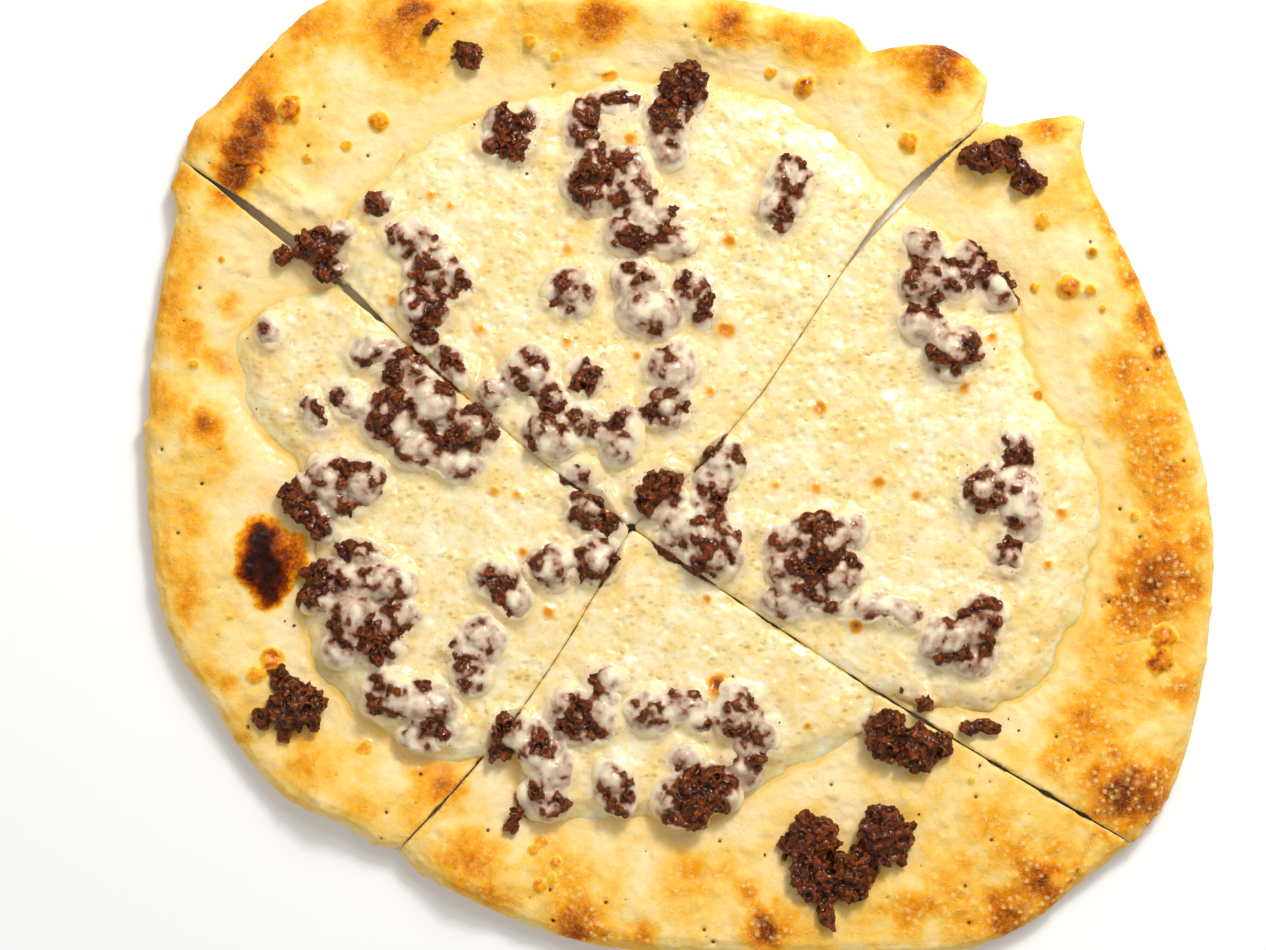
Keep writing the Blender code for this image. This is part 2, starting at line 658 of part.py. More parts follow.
def make_cheese(name, piece, collection):
    """The cheese of one slice."""
    mesh = net_mesh(
        name,
        columns_of(piece),
        CHEESE_ROWS,
        lambda bearing, row: cheese_top(piece, bearing, row),
        lambda bearing, row: cheese_floor(piece, bearing, row),
    )
    return place(name, mesh, "cheese", collection)


def surface_tree():
    """The upper side of bread and cheese as one search tree, with the knife cuts closed."""
    points, faces = [], []
    bread_count = BED_ROWS + 1 + SLOPE_ROWS + len(ROLL_ANGLES)
    for piece in SLICES.values():
        bearings = columns_of(piece)
        for top, rows in ((bread_top, bread_count), (cheese_top, CHEESE_ROWS)):
            first = len(points)
            for bearing in bearings:
                points += [top(piece, bearing, row, parted=False) for row in range(rows)]
            for column in range(len(bearings) - 1):
                for row in range(rows - 1):
                    corner = first + column * rows + row
                    faces.append((corner, corner + 1, corner + rows + 1, corner + rows))
    return BVHTree.FromPolygons(points, faces)


def height_at(tree, x, y):
    """The height of the food under a point."""
    return tree.ray_cast(Vector((x, y, ABOVE_ALL)), Vector((0, 0, -1)))[0].z


def seat_of(lump, tree):
    """A plane that leans as the food under a lump does and clears it by the gap."""
    turn = Matrix.Rotation(math.radians(lump.turn), 2)
    centre = Vector((lump.x, lump.y))
    spots = [centre]
    for reach in SEAT_RINGS:
        for k in range(SEAT_SPOTS):
            angle = 2 * math.pi * k / SEAT_SPOTS
            offset = Vector((lump.length * math.cos(angle), lump.width * math.sin(angle)))
            spots.append(centre + turn @ (offset * reach))
    heights = [height_at(tree, *spot) for spot in spots]
    mean = sum(heights) / len(heights)
    reach_squared = sum((spot - centre).length_squared for spot in spots) / 2
    lean = sum(((s - centre) * (h - mean) for s, h in zip(spots, heights)), Vector((0, 0)))
    lean /= reach_squared
    level = max(h - (s - centre).dot(lean) for s, h in zip(spots, heights))
    point = Vector((centre.x, centre.y, level + MEAT_GAP))
    return point, Vector((-lean.x, -lean.y, 1.0)).normalized()


def lump_object(lump, tree, number):
    """One lump: a ball drawn out to its measures, made uneven, and cut flat where it lies."""
    height = min(max(lump.width * MEAT_HEIGHT_SHARE, MEAT_HEIGHT_RANGE[0]), MEAT_HEIGHT_RANGE[1])
    seat, up = seat_of(lump, tree)
    bm = bmesh.new()
    bmesh.ops.create_icosphere(bm, subdivisions=2, radius=0.5)
    for vert in bm.verts:
        place_in_noise = vert.co * MEAT_BUMPS + Vector((number * MEAT_BUMPS_STEP, 0, 0))
        vert.co *= MEAT_SWELL + MEAT_ROUGHNESS * noise.noise(place_in_noise)
    centre = seat + Vector((0, 0, height * (0.5 - MEAT_SUNK_SHARE)))
    turn = Matrix.Rotation(math.radians(lump.turn), 4, "Z")
    size = Matrix.Diagonal((lump.length, lump.width, height, 1.0))
    bmesh.ops.transform(bm, matrix=Matrix.Translation(centre) @ turn @ size, verts=bm.verts)
    everything = list(bm.verts) + list(bm.edges) + list(bm.faces)
    cut = bmesh.ops.bisect_plane(
        bm, geom=everything, plane_co=seat, plane_no=up, clear_inner=True, dist=MERGE
    )
    rim = [item for item in cut["geom_cut"] if isinstance(item, bmesh.types.BMEdge)]
    bmesh.ops.holes_fill(bm, edges=rim, sides=0)
    bmesh.ops.recalc_face_normals(bm, faces=list(bm.faces))
    mesh = bpy.data.meshes.new(f"lump_{number}")
    bm.to_mesh(mesh)
    bm.free()
    return bpy.data.objects.new(mesh.name, mesh)


def applied(obj):
    """The object's mesh with its modifiers applied. The object itself goes."""
    graph = bpy.context.evaluated_depsgraph_get()
    mesh = bpy.data.meshes.new_from_object(obj.evaluated_get(graph))
    bpy.data.objects.remove(obj, do_unlink=True)
    return mesh


def with_boolean(obj, collection, operation):
    """The object's mesh, joined with all in a collection or cut by it."""
    boolean = obj.modifiers.new(operation.lower(), "BOOLEAN")
    boolean.operation = operation
    boolean.operand_type = "COLLECTION"
    boolean.collection = collection
    boolean.solver = "EXACT"
    return applied(obj)


def fused(objects):
    """The mesh of several lumps run together."""
    first, *others = objects
    scene = bpy.context.scene.collection
    scene.objects.link(first)
    if not others:
        return applied(first)
    joined = bpy.data.collections.new("joined")
    scene.children.link(joined)
    for obj in others:
        joined.objects.link(obj)
    mesh = with_boolean(first, joined, "UNION")
    for obj in others:
        bpy.data.objects.remove(obj, do_unlink=True)
    bpy.data.collections.remove(joined)
    return mesh


def thinned(mesh):
    """The clump with as many triangles as its size calls for."""
    obj = bpy.data.objects.new("thinned", mesh)
    bpy.context.scene.collection.objects.link(obj)
    area = sum(polygon.area for polygon in mesh.polygons)
    triangles = sum(len(polygon.vertices) - 2 for polygon in mesh.polygons)
    decimate = obj.modifiers.new("fewer", "DECIMATE")
    decimate.ratio = min(1.0, MEAT_TRIANGLES_PER_CM2 * area * CM2_IN_M2 / triangles)
    decimate.use_collapse_triangulate = True
    return applied(obj)


def settle(mesh, tree):
    """Lifts the few corners that the thinning has let down into what lies below."""
    for vert in mesh.vertices:
        under = height_at(tree, vert.co.x, vert.co.y)
        vert.co.z = max(vert.co.z, under + MEAT_GAP)


def make_clump(name, lumps, first_number, tree, collection):
    """A clump of lumps as one solid that lies on the food."""
    parts = [lump_object(lump, tree, first_number + k) for k, lump in enumerate(lumps)]
    mesh = thinned(fused(parts))
    settle(mesh, tree)
    mesh.name = name
    return place(name, mesh, "meat", collection)


def main():
    """Makes the slices, and then the meat on them."""
    clear_scene()
    food = bpy.data.collections.new("manakish")
    bpy.context.scene.collection.children.link(food)
    for name, piece in SLICES.items():
        make_bread(f"bread_{name}", piece, food)
        make_cheese(f"cheese_{name}", piece, food)
    tree = surface_tree()
    number = 0
    for name, lumps in CLUMPS.items():
        make_clump(f"meat_{name}", lumps, number, tree, food)
        number += len(lumps)


main()
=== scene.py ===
"""The looks of a manakish: flatbread baked under melted cheese and lumps of minced meat.

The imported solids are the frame. Over each of the four slices this script makes three
pieces, the bread, the cheese and the meat, and then the loose crumbs. Every piece keeps
the form of the solids that it stands for. Lengths are in metres; the places of single
marks are in millimetres from the middle of the bread, +X to the right and +Y away.
"""

import itertools
import logging
import math
from dataclasses import dataclass
from enum import Enum
from typing import NamedTuple

import bpy
import numpy as np
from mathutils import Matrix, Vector
from mathutils.bvhtree import BVHTree


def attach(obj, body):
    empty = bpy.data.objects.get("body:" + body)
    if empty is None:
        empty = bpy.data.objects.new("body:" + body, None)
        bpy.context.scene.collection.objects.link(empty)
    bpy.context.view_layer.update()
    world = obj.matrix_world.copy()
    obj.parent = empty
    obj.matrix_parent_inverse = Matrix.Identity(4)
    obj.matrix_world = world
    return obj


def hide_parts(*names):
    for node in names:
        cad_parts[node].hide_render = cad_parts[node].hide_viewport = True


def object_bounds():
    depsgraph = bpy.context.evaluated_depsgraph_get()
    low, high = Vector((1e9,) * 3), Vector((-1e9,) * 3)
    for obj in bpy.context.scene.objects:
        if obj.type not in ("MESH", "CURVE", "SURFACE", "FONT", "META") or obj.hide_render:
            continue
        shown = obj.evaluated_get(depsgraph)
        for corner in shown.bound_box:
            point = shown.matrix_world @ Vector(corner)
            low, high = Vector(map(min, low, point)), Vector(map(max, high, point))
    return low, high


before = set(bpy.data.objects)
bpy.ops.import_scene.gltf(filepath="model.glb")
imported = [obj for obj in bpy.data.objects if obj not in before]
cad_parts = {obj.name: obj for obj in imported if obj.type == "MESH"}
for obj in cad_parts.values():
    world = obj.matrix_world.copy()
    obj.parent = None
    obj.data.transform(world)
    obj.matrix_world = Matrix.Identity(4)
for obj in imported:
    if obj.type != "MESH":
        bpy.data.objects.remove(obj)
CAD_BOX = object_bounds()

LOG = logging.getLogger("manakish")
MM = 0.001
COARSER = 1.0
PRESSED = 1.2 * MM  # the depth below the top of the frame's box in which heights are pressed

Array = np.ndarray
Piece = bpy.types.Object
Tree = bpy.types.NodeTree
Node = bpy.types.Node
Socket = bpy.types.NodeSocket
Colour = tuple[float, float, float, float]
Scale = tuple[tuple[float, Colour], ...]  # colours, each at its place from 0 to 1


class Side(Enum):
    """The four slices, by the side of the bread that they make up."""

    NORTH = "north"
    EAST = "east"
    SOUTH = "south"
    WEST = "west"


class Layer(Enum):
    """What a slice is made of, named as the solids are."""

    BREAD = "bread"
    CHEESE = "cheese"
    MEAT = "meat"


class Spot(NamedTuple):
    """A mark on the food, seen from above: its place and radius in millimetres."""

    x: float
    y: float
    radius: float
    strength: float = 1.0


def spots(*rows: tuple) -> tuple[Spot, ...]:
    """Names the numbers of each row as a Spot."""
    return tuple(Spot(*row) for row in rows)


# Where the crust has browned; a strength of 1 is dark brown.
BROWNED = spots(
    (-111.3, 97.3, 4, 0.9), (-113.8, 92.5, 4.4), (-116.5, 87.6, 4.6), (-118.6, 82.8, 4.4),
    (-120.8, 77.4, 4), (-130.8, 90, 3.8, 0.4), (-98.9, 120.8, 5.4, 0.4), (-70.6, 124.9, 4.6, 0.9),
    (-20.4, 124.1, 5, 0.8), (13.7, 121.1, 4.3, 0.75), (28.8, 119.5, 3.5, 0.2), (36.3, 115.2, 3.5, 0.5),
    (41.7, 116.2, 3.2, 0.25), (72.8, 113.1, 5.4, 0.95), (71.2, 104.9, 3.2, 0.95),
    (56.9, 114.4, 4.1, 0.7), (65.2, 110.8, 3.2, 0.35), (99.8, 93.1, 3.8, 0.7), (113.6, 72, 2.7, 0.6),
    (117, 65.6, 2.7, 0.65), (120, 59.1, 2.7, 0.7), (122.8, 52.1, 2.7, 0.7), (125.3, 45, 2.7, 0.65),
    (127, 38.8, 2.7, 0.6), (130.3, 33.1, 2.4), (124.1, 40.4, 2.7, 0.45), (128.6, -26.3, 9.2, 0.72),
    (128.1, -0.4, 6.5, 0.3), (119.8, 25.8, 4.9, 0.1), (136.5, -58.2, 4.1, 0.5), (109.8, -66.6, 7, 0.5),
    (120, -86.5, 9.2), (97.4, -111.4, 5.9, 0.9), (88.2, -119.2, 5.1, 0.9), (63.6, -116.8, 4.6, 0.35),
    (84.4, -93.3, 5.4, 0.15), (76.3, -106.2, 4.3, 0.1), (101.1, -79.2, 3.5, 0.55),
    (130.3, -79.2, 2.7, 0.2), (120.6, -36.3, 5.9, 0.45), (23.7, -123, 4.3, 0.95), (19.1, -113, 2.4, 0.5),
    (2.9, -108.4, 4.9, 0.2), (13.1, -102.5, 3.8, 0.2), (-8.2, -125.1, 3, 0.45),
    (-27.4, -123.3, 4.6, 0.8), (-22, -122.4, 3.2, 0.45), (-59.5, -101.7, 7, 0.1),
    (-62.2, -105.2, 3.2, 0.45), (-51.9, -109.2, 3.8, 0.2), (-55.2, -105.2, 4.3, 0.15),
    (-45.2, -115.4, 3.8, 0.4), (-66.3, -87.3, 5.4, 0.4), (-61.7, -85.2, 3.2, 0.4),
    (-100.3, -79, 4.6, 0.15), (-84.6, -91.4, 2.7, 0.25), (-121.9, -56.6, 2.4, 0.4),
    (-117.2, -71.8, 2.2, 0.5), (-132.1, -35.2, 4.3, 0.3), (-130.2, -14.2, 3.2, 0.15),
    (-127.3, 12.6, 3.4, 0.7), (-131.1, 35.8, 3.4, 0.5), (-122.1, 29.8, 3, 0.6), (-121.1, 45.2, 3, 0.6),
    (-134.4, 79.1, 3.5, 0.55), (-31.7, 107.3, 3.8, 0.25), (107.4, 81.7, 4.3, 0.2),
    (133, 14.2, 3.8, 0.45), (138.4, -30, 3, 0.4), (137.6, 2, 2.4, 0.4), (139.4, -18, 2.4, 0.45),
    (-138.2, 58, 2.4, 0.4),
)

# Broad parts of the crust that are golden rather than pale.
GOLDEN = spots(
    (-116.2, 104.6, 4.9, 0.5), (-110, 110.8, 4.9, 0.5), (-105.1, 118.1, 5.4, 0.5),
    (-98.7, 121.6, 4.3, 0.5), (-101.9, 88.4, 4.3, 0.3), (-132.4, 80.6, 2.7, 0.5),
    (-135.9, 62.5, 4.3, 0.45), (-135.9, 46.6, 4.3, 0.45), (-129.4, 60.3, 3.8, 0.35),
    (-135.4, 39.8, 4.3, 0.45), (-123, 29.3, 3.8, 0.35), (-126.5, 12.6, 4.3, 0.6),
    (-138.1, 19.6, 3.8, 0.55), (-124.8, 3.1, 4.9, 0.35), (-131.1, -12.8, 4.3, 0.4),
    (-138.1, -16.3, 2.7, 0.35), (-133.5, -30.1, 3.8, 0.45), (-132.4, -38.7, 3.5, 0.5),
    (-134.3, -44.1, 3.2, 0.35), (-127.8, -52, 3, 0.4), (-121.9, -56.6, 2.4, 0.5), (-99.7, -79, 4.6, 0.5),
    (-93, -76.3, 3.8, 0.4), (-83.8, -75.7, 3.8, 0.5), (-67.6, -81.4, 4.3, 0.6), (-61.1, -82.8, 3.5, 0.6),
    (-105.9, -86.3, 4.3, 0.3), (-87.3, -88.7, 3.8, 0.4), (-70.8, -93.3, 3.2, 0.4),
    (-58.2, -101.4, 4.1, 0.5), (-64.6, -80.9, 3.5, 0.55), (-53.3, -105.2, 4.9, 0.55),
    (-59.5, -111.1, 2.7, 0.5), (-50.6, -113.5, 2.7, 0.6), (-29, -123, 3.5, 0.6),
    (-20.9, -124.9, 3.2, 0.6), (-10.1, -102.5, 5.4, 0.4), (-1.5, -106.2, 4.3, 0.4),
    (-31.2, -111.1, 4.6, 0.4), (-18.7, -112.7, 4.1, 0.4), (18.3, -112.7, 2.7, 0.5),
    (23.4, -121.4, 4.9, 0.5), (7.2, -108.4, 4.1, 0.4), (13.1, -110, 3.8, 0.35), (-12, -125.4, 3.8, 0.6),
    (123.8, -39.3, 4.1, 0.5), (135.7, -60.1, 3.2, 0.55), (109.2, -66.6, 5.4, 0.45),
    (127.6, -79.2, 7, 0.4), (117.3, -54.4, 5.4, 0.4), (127.6, -62.5, 5.4, 0.4), (84.4, -93.8, 3.8, 0.35),
    (70.9, -106.5, 4.6, 0.5), (62.8, -116.8, 4.6, 0.5), (89.3, -102.7, 4.6, 0.5),
    (99.8, -111.4, 5.1, 0.5), (87.6, -121.9, 4.1, 0.55), (76.3, -121.9, 4.3, 0.5),
    (49.3, -122.7, 3.8, 0.35), (38, -125.4, 3.5, 0.35), (115.2, -103.3, 4.6, 0.5),
    (32.8, 116.8, 4.6, 0.4), (42, 113.3, 3.8, 0.5), (46.9, 119.2, 3.8, 0.4), (62.8, 110.8, 4.3, 0.5),
    (73.6, 113.3, 4.9, 0.5), (67.9, 106.5, 3.8, 0.5), (77.1, 107.1, 2.7, 0.55), (57.9, 97.9, 4.9, 0.25),
    (98.7, 94.1, 3.8, 0.4), (107.1, 96.3, 3, 0.5), (111.4, 77.6, 2.7, 0.45), (117.3, 66.6, 2.7, 0.5),
    (122.2, 53.9, 3, 0.55), (127.3, 43.9, 3.2, 0.6), (103.3, 77.4, 3.8, 0.3), (119.5, 28.8, 4.1, 0.6),
    (122.7, 24.4, 3.8, 0.6), (131.7, 27.1, 3.2, 0.5), (127.1, 11.5, 4.9, 0.5), (129, 4.7, 4.3, 0.45),
    (129.2, -3.1, 4.9, 0.5), (136.5, -3.6, 3.2, 0.5), (134.9, -10.4, 3.5, 0.5),
    (128.1, -25.2, 5.9, 0.55), (126.5, -32.3, 4.3, 0.5), (141.1, -18.2, 2.7, 0.55),
    (121.7, -37.7, 4.9, 0.45), (119, -12.8, 3.8, 0.45), (118.2, 14.2, 3.5, 0.55),
    (-72.7, 125.4, 5.9, 0.5), (-57.6, 122.2, 4.3, 0.35), (-42.5, 122.2, 4.3, 0.35),
    (-19.8, 123.8, 5.9, 0.5), (-27.4, 119.5, 4.3, 0.35), (-11.2, 117.9, 4.3, 0.3),
    (10.7, 122.2, 5.4, 0.45), (17.4, 120, 4.3, 0.5), (28.8, 119.5, 4.3, 0.45), (-75.7, 117.9, 4.3, 0.4),
    (-80.3, 119.5, 4.9, 0.4),
)

# Whole stretches of the crust that are golden.
TANNED = spots(
    (128.1, 21.5, 13, 0.5), (128.1, -3.6, 13, 0.5), (132.2, -28.8, 13, 0.5), (126.5, -37.1, 9, 0.4),
    (118.1, 29.8, 7, 0.4), (121.4, 13.1, 7, 0.45), (-74.9, 116.8, 9, 0.4), (-61.4, 119.5, 9, 0.35),
    (-47.9, 118.1, 9, 0.35), (-31.7, 122.2, 9, 0.4), (-20, 120, 9, 0.35), (6.1, 119.5, 8, 0.35),
    (16.9, 120.8, 8, 0.35), (30.4, 119.5, 8, 0.35), (42, 112, 7, 0.35), (-117.8, 106, 9, 0.4),
    (-110.5, 109.5, 8, 0.4), (-96.2, 121.9, 9, 0.45), (-81.6, 120.3, 9, 0.4), (-125.1, 95.2, 9, 0.4),
    (-133.8, 59, 7, 0.35), (-136.7, 49.5, 7, 0.35), (-138.1, 43.1, 7, 0.35), (-139.4, 19, 7, 0.35),
    (-133.8, -3.9, 8, 0.3), (-135.9, -22, 7, 0.3), (-132.4, -33.1, 7, 0.35), (121.4, -54.4, 9, 0.4),
    (111.4, -45.2, 6, 0.4), (133.3, -46.6, 7, 0.4), (113.3, -74.7, 9, 0.35), (129.5, -82.5, 8, 0.4),
    (101.4, -94.6, 8, 0.35), (89.3, -102.7, 8, 0.4), (81.2, -110.6, 8, 0.4), (73.3, -114.6, 8, 0.4),
    (61.2, -122.7, 8, 0.4), (105.2, -102.7, 8, 0.4), (109.2, -114.6, 7, 0.4), (68, 108, 8, 0.4),
    (30, -122, 8, 0.3), (0, -118, 10, 0.3), (-28, -118, 10, 0.35), (-55, -106, 9, 0.3),
    (-66, -84, 8, 0.4), (-98, -82, 8, 0.3), (-118, -66, 8, 0.3), (-127, -52, 8, 0.3),
    (-131.6, 14.2, 6, 0.45), (-31.7, -104.6, 9, 0.7), (111.4, -45.2, 8, 0.6), (-69.5, 111.4, 9, 0.6),
    (60, -90, 7, 0.4), (140, -14, 6, 0.35), (137, 10, 6, 0.3),
)

# Parts of the crust that stayed pale.
PALE = spots(
    (-10.1, 111.4, 8, 0.8), (103.3, 60, 9, 0.8), (98, 84, 8, 0.8), (-9, -104.6, 6, 0.8),
    (127.6, -71.4, 5, 0.6), (-89.7, 108.7, 5.4, 0.8), (-53.3, 119.5, 4.6, 0.6), (-98, 76, 10, 0.7),
    (-116, 60, 8, 0.5), (-112, -4, 9, 0.6), (-104, -44, 7, 0.6), (-125, -62, 4, 0.5), (88, 68, 7, 0.7),
    (-138, 30, 3, 0.5), (46, -92, 7, 0.6), (75, 94, 6, 0.6), (20, 104, 8, 0.5), (-46, -84, 6, 0.5),
)

# Blisters and drops of fat baked to amber, on the bread.
AMBER = spots(
    (-104.3, 97.9, 3.6), (-80.6, 94.9, 2.7, 0.8), (-89.5, 88.2, 1.6, 0.7), (-100, 84.9, 1.6, 0.7),
    (-39.8, 116.2, 1.9, 0.8), (-33, 112.7, 1.6, 0.8), (-18.5, 107.1, 2.4, 0.8), (25, 107.9, 1.9, 0.8),
    (34.5, 104.4, 2.7), (62.5, 89, 2.7, 0.9), (98.4, 67.6, 2.2, 0.8), (111.9, 59.3, 1.6, 0.8),
    (106, 49.8, 3.2), (111.4, 49.3, 1.6, 0.8), (96.8, 49.8, 1.4, 0.7), (131.3, -44.6, 3.7),
    (130.4, -50.6, 4), (-110, -50.6, 3.2, 0.9), (-114, -54.7, 2.4, 0.9), (-103.2, 39.3, 2.2, 0.7),
    (123.8, -12, 1.4, 0.7), (-37.1, -100, 1.9, 0.8), (-39, -102.2, 1.6, 0.8), (-32.8, -105.4, 1.6, 0.8),
    (-37.1, -111.4, 2.2, 0.7), (-33.9, -109.5, 1.6, 0.6), (-84.6, -74.9, 2.4, 0.6),
    (-130.5, 29.3, 1.4, 0.8), (-123, 57.4, 0.8, 0.9), (-120.8, -39, 0.8, 0.9), (114.6, 44.1, 1.1, 0.9),
    (79.3, -83, 1.1, 0.6),
)

# Holes pricked in the dough before baking.
PRICKS = (
    (-109.7, 112.5), (-126.2, 83.3), (-95.4, 98.7), (-96.5, 95.4), (-99.7, 88.2), (-78.9, 109.5),
    (-83.8, 85.7), (-104.3, 77.6), (-112.4, 81.1), (-116.2, 52.8), (-128.9, 49.8), (-131.6, 71.1),
    (2.1, 120.3), (4.5, 117.3), (8.8, 116.5), (26.9, 116.2), (-60.6, 123.8), (-65.4, 105.4),
    (-33.6, 104.9), (43.6, 104.9), (56.9, 93.6), (49.3, 91.1), (111.4, 62.2), (-133.2, 40.9),
    (-139.2, 6.1), (-123.5, 6.3), (-134.8, -16.3), (-123.8, -31.2), (-128.4, -3.1), (125.2, 35.2),
    (126.8, 27.7), (118.4, 19.3), (136.5, 3.1), (132.7, 9.9), (119.8, -9.9), (126, -5.5), (124.9, -17.4),
    (117.1, -34.7), (132.2, -34.7), (114.9, -36.3), (7.2, -123.3), (7.7, -125.1), (9.6, -126.8),
    (-124.3, -43.9), (-115.9, -68.7), (-91.9, -81.4), (-69.5, -81.7), (-70.6, -89.2), (-78.4, -91.7),
    (-80, -99), (-51.1, -96.5), (-59.8, -106.5), (-34.4, -112.7), (-39.8, -114.9), (-19.3, -116),
    (-13.9, -115.2), (-33.6, -121.1), (-8.5, -102.5), (11.5, -99.8), (13.7, -102.5), (102.5, -71.4),
    (120.9, -68.2), (105.5, -77.6), (84.4, -83.6), (80.6, -87.6), (94.9, -92.2), (84.7, -99.2),
    (65.8, -106.2), (77.7, -111.6), (56.6, -114.6), (78.7, -121.6), (36.9, -83), (41.7, -84.6),
    (124.1, -85.5), (116.8, -35),
)

# Where the cheese has toasted.
TOASTED = spots(
    (11, -56.8, 3.5), (12.9, 38.5, 2.7, 0.8), (-29.8, 35.8, 1.9, 0.6), (-29.8, 60.1, 1.9, 0.45),
    (-66.5, 74.7, 1.9, 0.5), (-61.4, 72.2, 1.6, 0.5), (13.9, 62.5, 2.2, 0.6), (-76.8, 46.6, 1.9, 0.5),
    (-53.3, 38.7, 1.9, 0.5), (-43.3, -5.8, 1.6, 0.5), (-49.5, -5, 1.6, 0.5), (-41.7, -21.2, 1.9, 0.6),
    (-34.9, -37.9, 2.2, 0.55), (-10.9, 31.2, 1.6, 0.6), (-35.7, 17.7, 1.6, 0.5), (-8.7, 11.7, 1.6, 0.5),
    (8.8, 22, 1.9, 0.6), (8, -34.4, 1.9, 0.6), (38.5, 17.4, 2.2, 0.6), (54.4, -2.8, 1.9, 0.6),
    (37.7, -4.2, 1.6, 0.5), (26.6, -3.4, 1.6, 0.5), (64.4, -6.1, 1.6, 0.5), (48, -41.2, 2.2, 0.9),
    (77.4, 23.1, 2.2, 0.7), (84.9, 36.6, 1.9, 0.6), (97.6, 20.9, 1.6, 0.7), (102.5, 22.3, 1.9, 0.8),
    (108.7, 20.9, 1.6, 0.7), (110.9, 13.9, 1.9, 0.8), (118.4, 14.7, 1.1, 0.9), (103.3, -10.7, 1.9, 0.6),
    (100.1, -25, 1.6, 0.6), (110.6, -42.5, 1.6, 0.9), (108.4, -55.8, 1.9, 0.9), (96, -60.6, 1.6, 0.9),
    (93.6, -64.7, 1.6, 0.7), (-12.8, 89.8, 1.9, 0.6), (-74.9, 85.5, 2.7, 0.4), (-78.9, 84.4, 2.2, 0.4),
    (35, -68.4, 1.1, 0.6), (-82.5, -73.6, 1.9, 0.5),
)

# Where the melted fat stands on bread and cheese.
OILED = spots(
    (12.6, 105.2, 5.9, 0.9), (-110.5, -5.5, 5.4, 0.9), (-111.9, 10.4, 2.7, 0.7), (30.4, -58.7, 7, 0.7),
    (41.2, -66.8, 6.5, 0.6), (-31.7, -93.8, 4.9, 0.6), (81.7, -58.7, 4.9, 0.5), (89.8, -50.6, 4.3, 0.5),
    (-10.1, -88.4, 4.3, 0.5), (108, 44, 4.6, 0.9), (107, 27, 3.8, 0.8), (107.5, 10.5, 3.5, 0.9),
    (112, -8, 4.3, 0.9), (107.5, -22, 3.8, 0.8), (104, -40, 3.8, 0.9), (97, -55, 4.3, 0.9),
    (90, -64, 3.8, 0.8), (-80, 61, 4, 0.4),
)

# Where the bread stands up in a puff or, with a negative strength, sinks; 1 is a millimetre.
PUFFED = spots(
    (-114.6, 80.6, 5.8, 2.2), (-109.2, 77.6, 5.6, 2), (-103.4, 73.4, 5.4, 2), (-97, 72, 5, 1.6),
    (131.3, -45, 3.3, 1.7), (130.4, -50.3, 3.2, 1.7), (130.9, -47.6, 9.2, -0.9), (62.8, 89.4, 2.7, 1.3),
    (34.6, 104.4, 2.9, 1.4), (30, 106, 2.4), (-104.3, 97.9, 3.8, 1.1), (-80.6, 94.9, 3.2, 0.7),
    (-68.9, 121.6, 3.2), (-39, 114.6, 2.7, 0.9), (-34.2, 110.8, 2.4, 0.9), (-20, 107.9, 3.5),
    (106, 49.8, 3.5, 1.1), (111.4, 49.3, 2.7, 0.9), (111.9, 59.3, 2.4, 0.9), (89, 74.2, 6.2, -0.8),
    (76.3, 107.4, 4, -1.2), (84.6, 91, 4.3), (108.1, 95.5, 4.6, -0.9), (-112.4, -56, 5.9, 0.9),
    (-98, 83.5, 6, 0.8), (-71.3, -95, 5, 0.5), (119.6, -88.2, 6.5, 0.6),
)

# Where the cheese bulges over something, or sinks; 1 is a millimetre.
BULGED = spots(
    (-16.6, 93.2, 5.9, 2.6), (-12.4, 89.9, 4, 1.6), (-39, 29.4, 3.2, 1.2), (20.8, -14.3, 4.6, 1.6),
    (-2, -5, 3.5), (-28, -23.5, 4.6, 1.5), (-61.9, 2.3, 4.6, 1.2), (27.2, -33.5, 4.3, 1.2),
    (45, -17, 4.6, 1.3), (54.5, -37.5, 4.6), (66, -41, 4.6, 0.9), (43, 62.4, 6.5, 0.9),
    (30, 50.5, 7.6, 0.8), (-68, 48.9, 8.1, 0.7), (84, -61, 5.4, 0.8), (94, -54, 4.6, 0.9),
    (50.2, -72.2, 7, 0.8), (45.9, -81.8, 5.1, 0.7), (-36.3, 41.9, 5.4, 0.7), (-90.9, 45, 4.3, 0.8),
    (61.8, 23.1, 7.6, -0.5), (-60, -16, 9.2, -0.5), (7, -46, 8.1, 0.5), (87, 5.5, 6.5, 0.6),
)

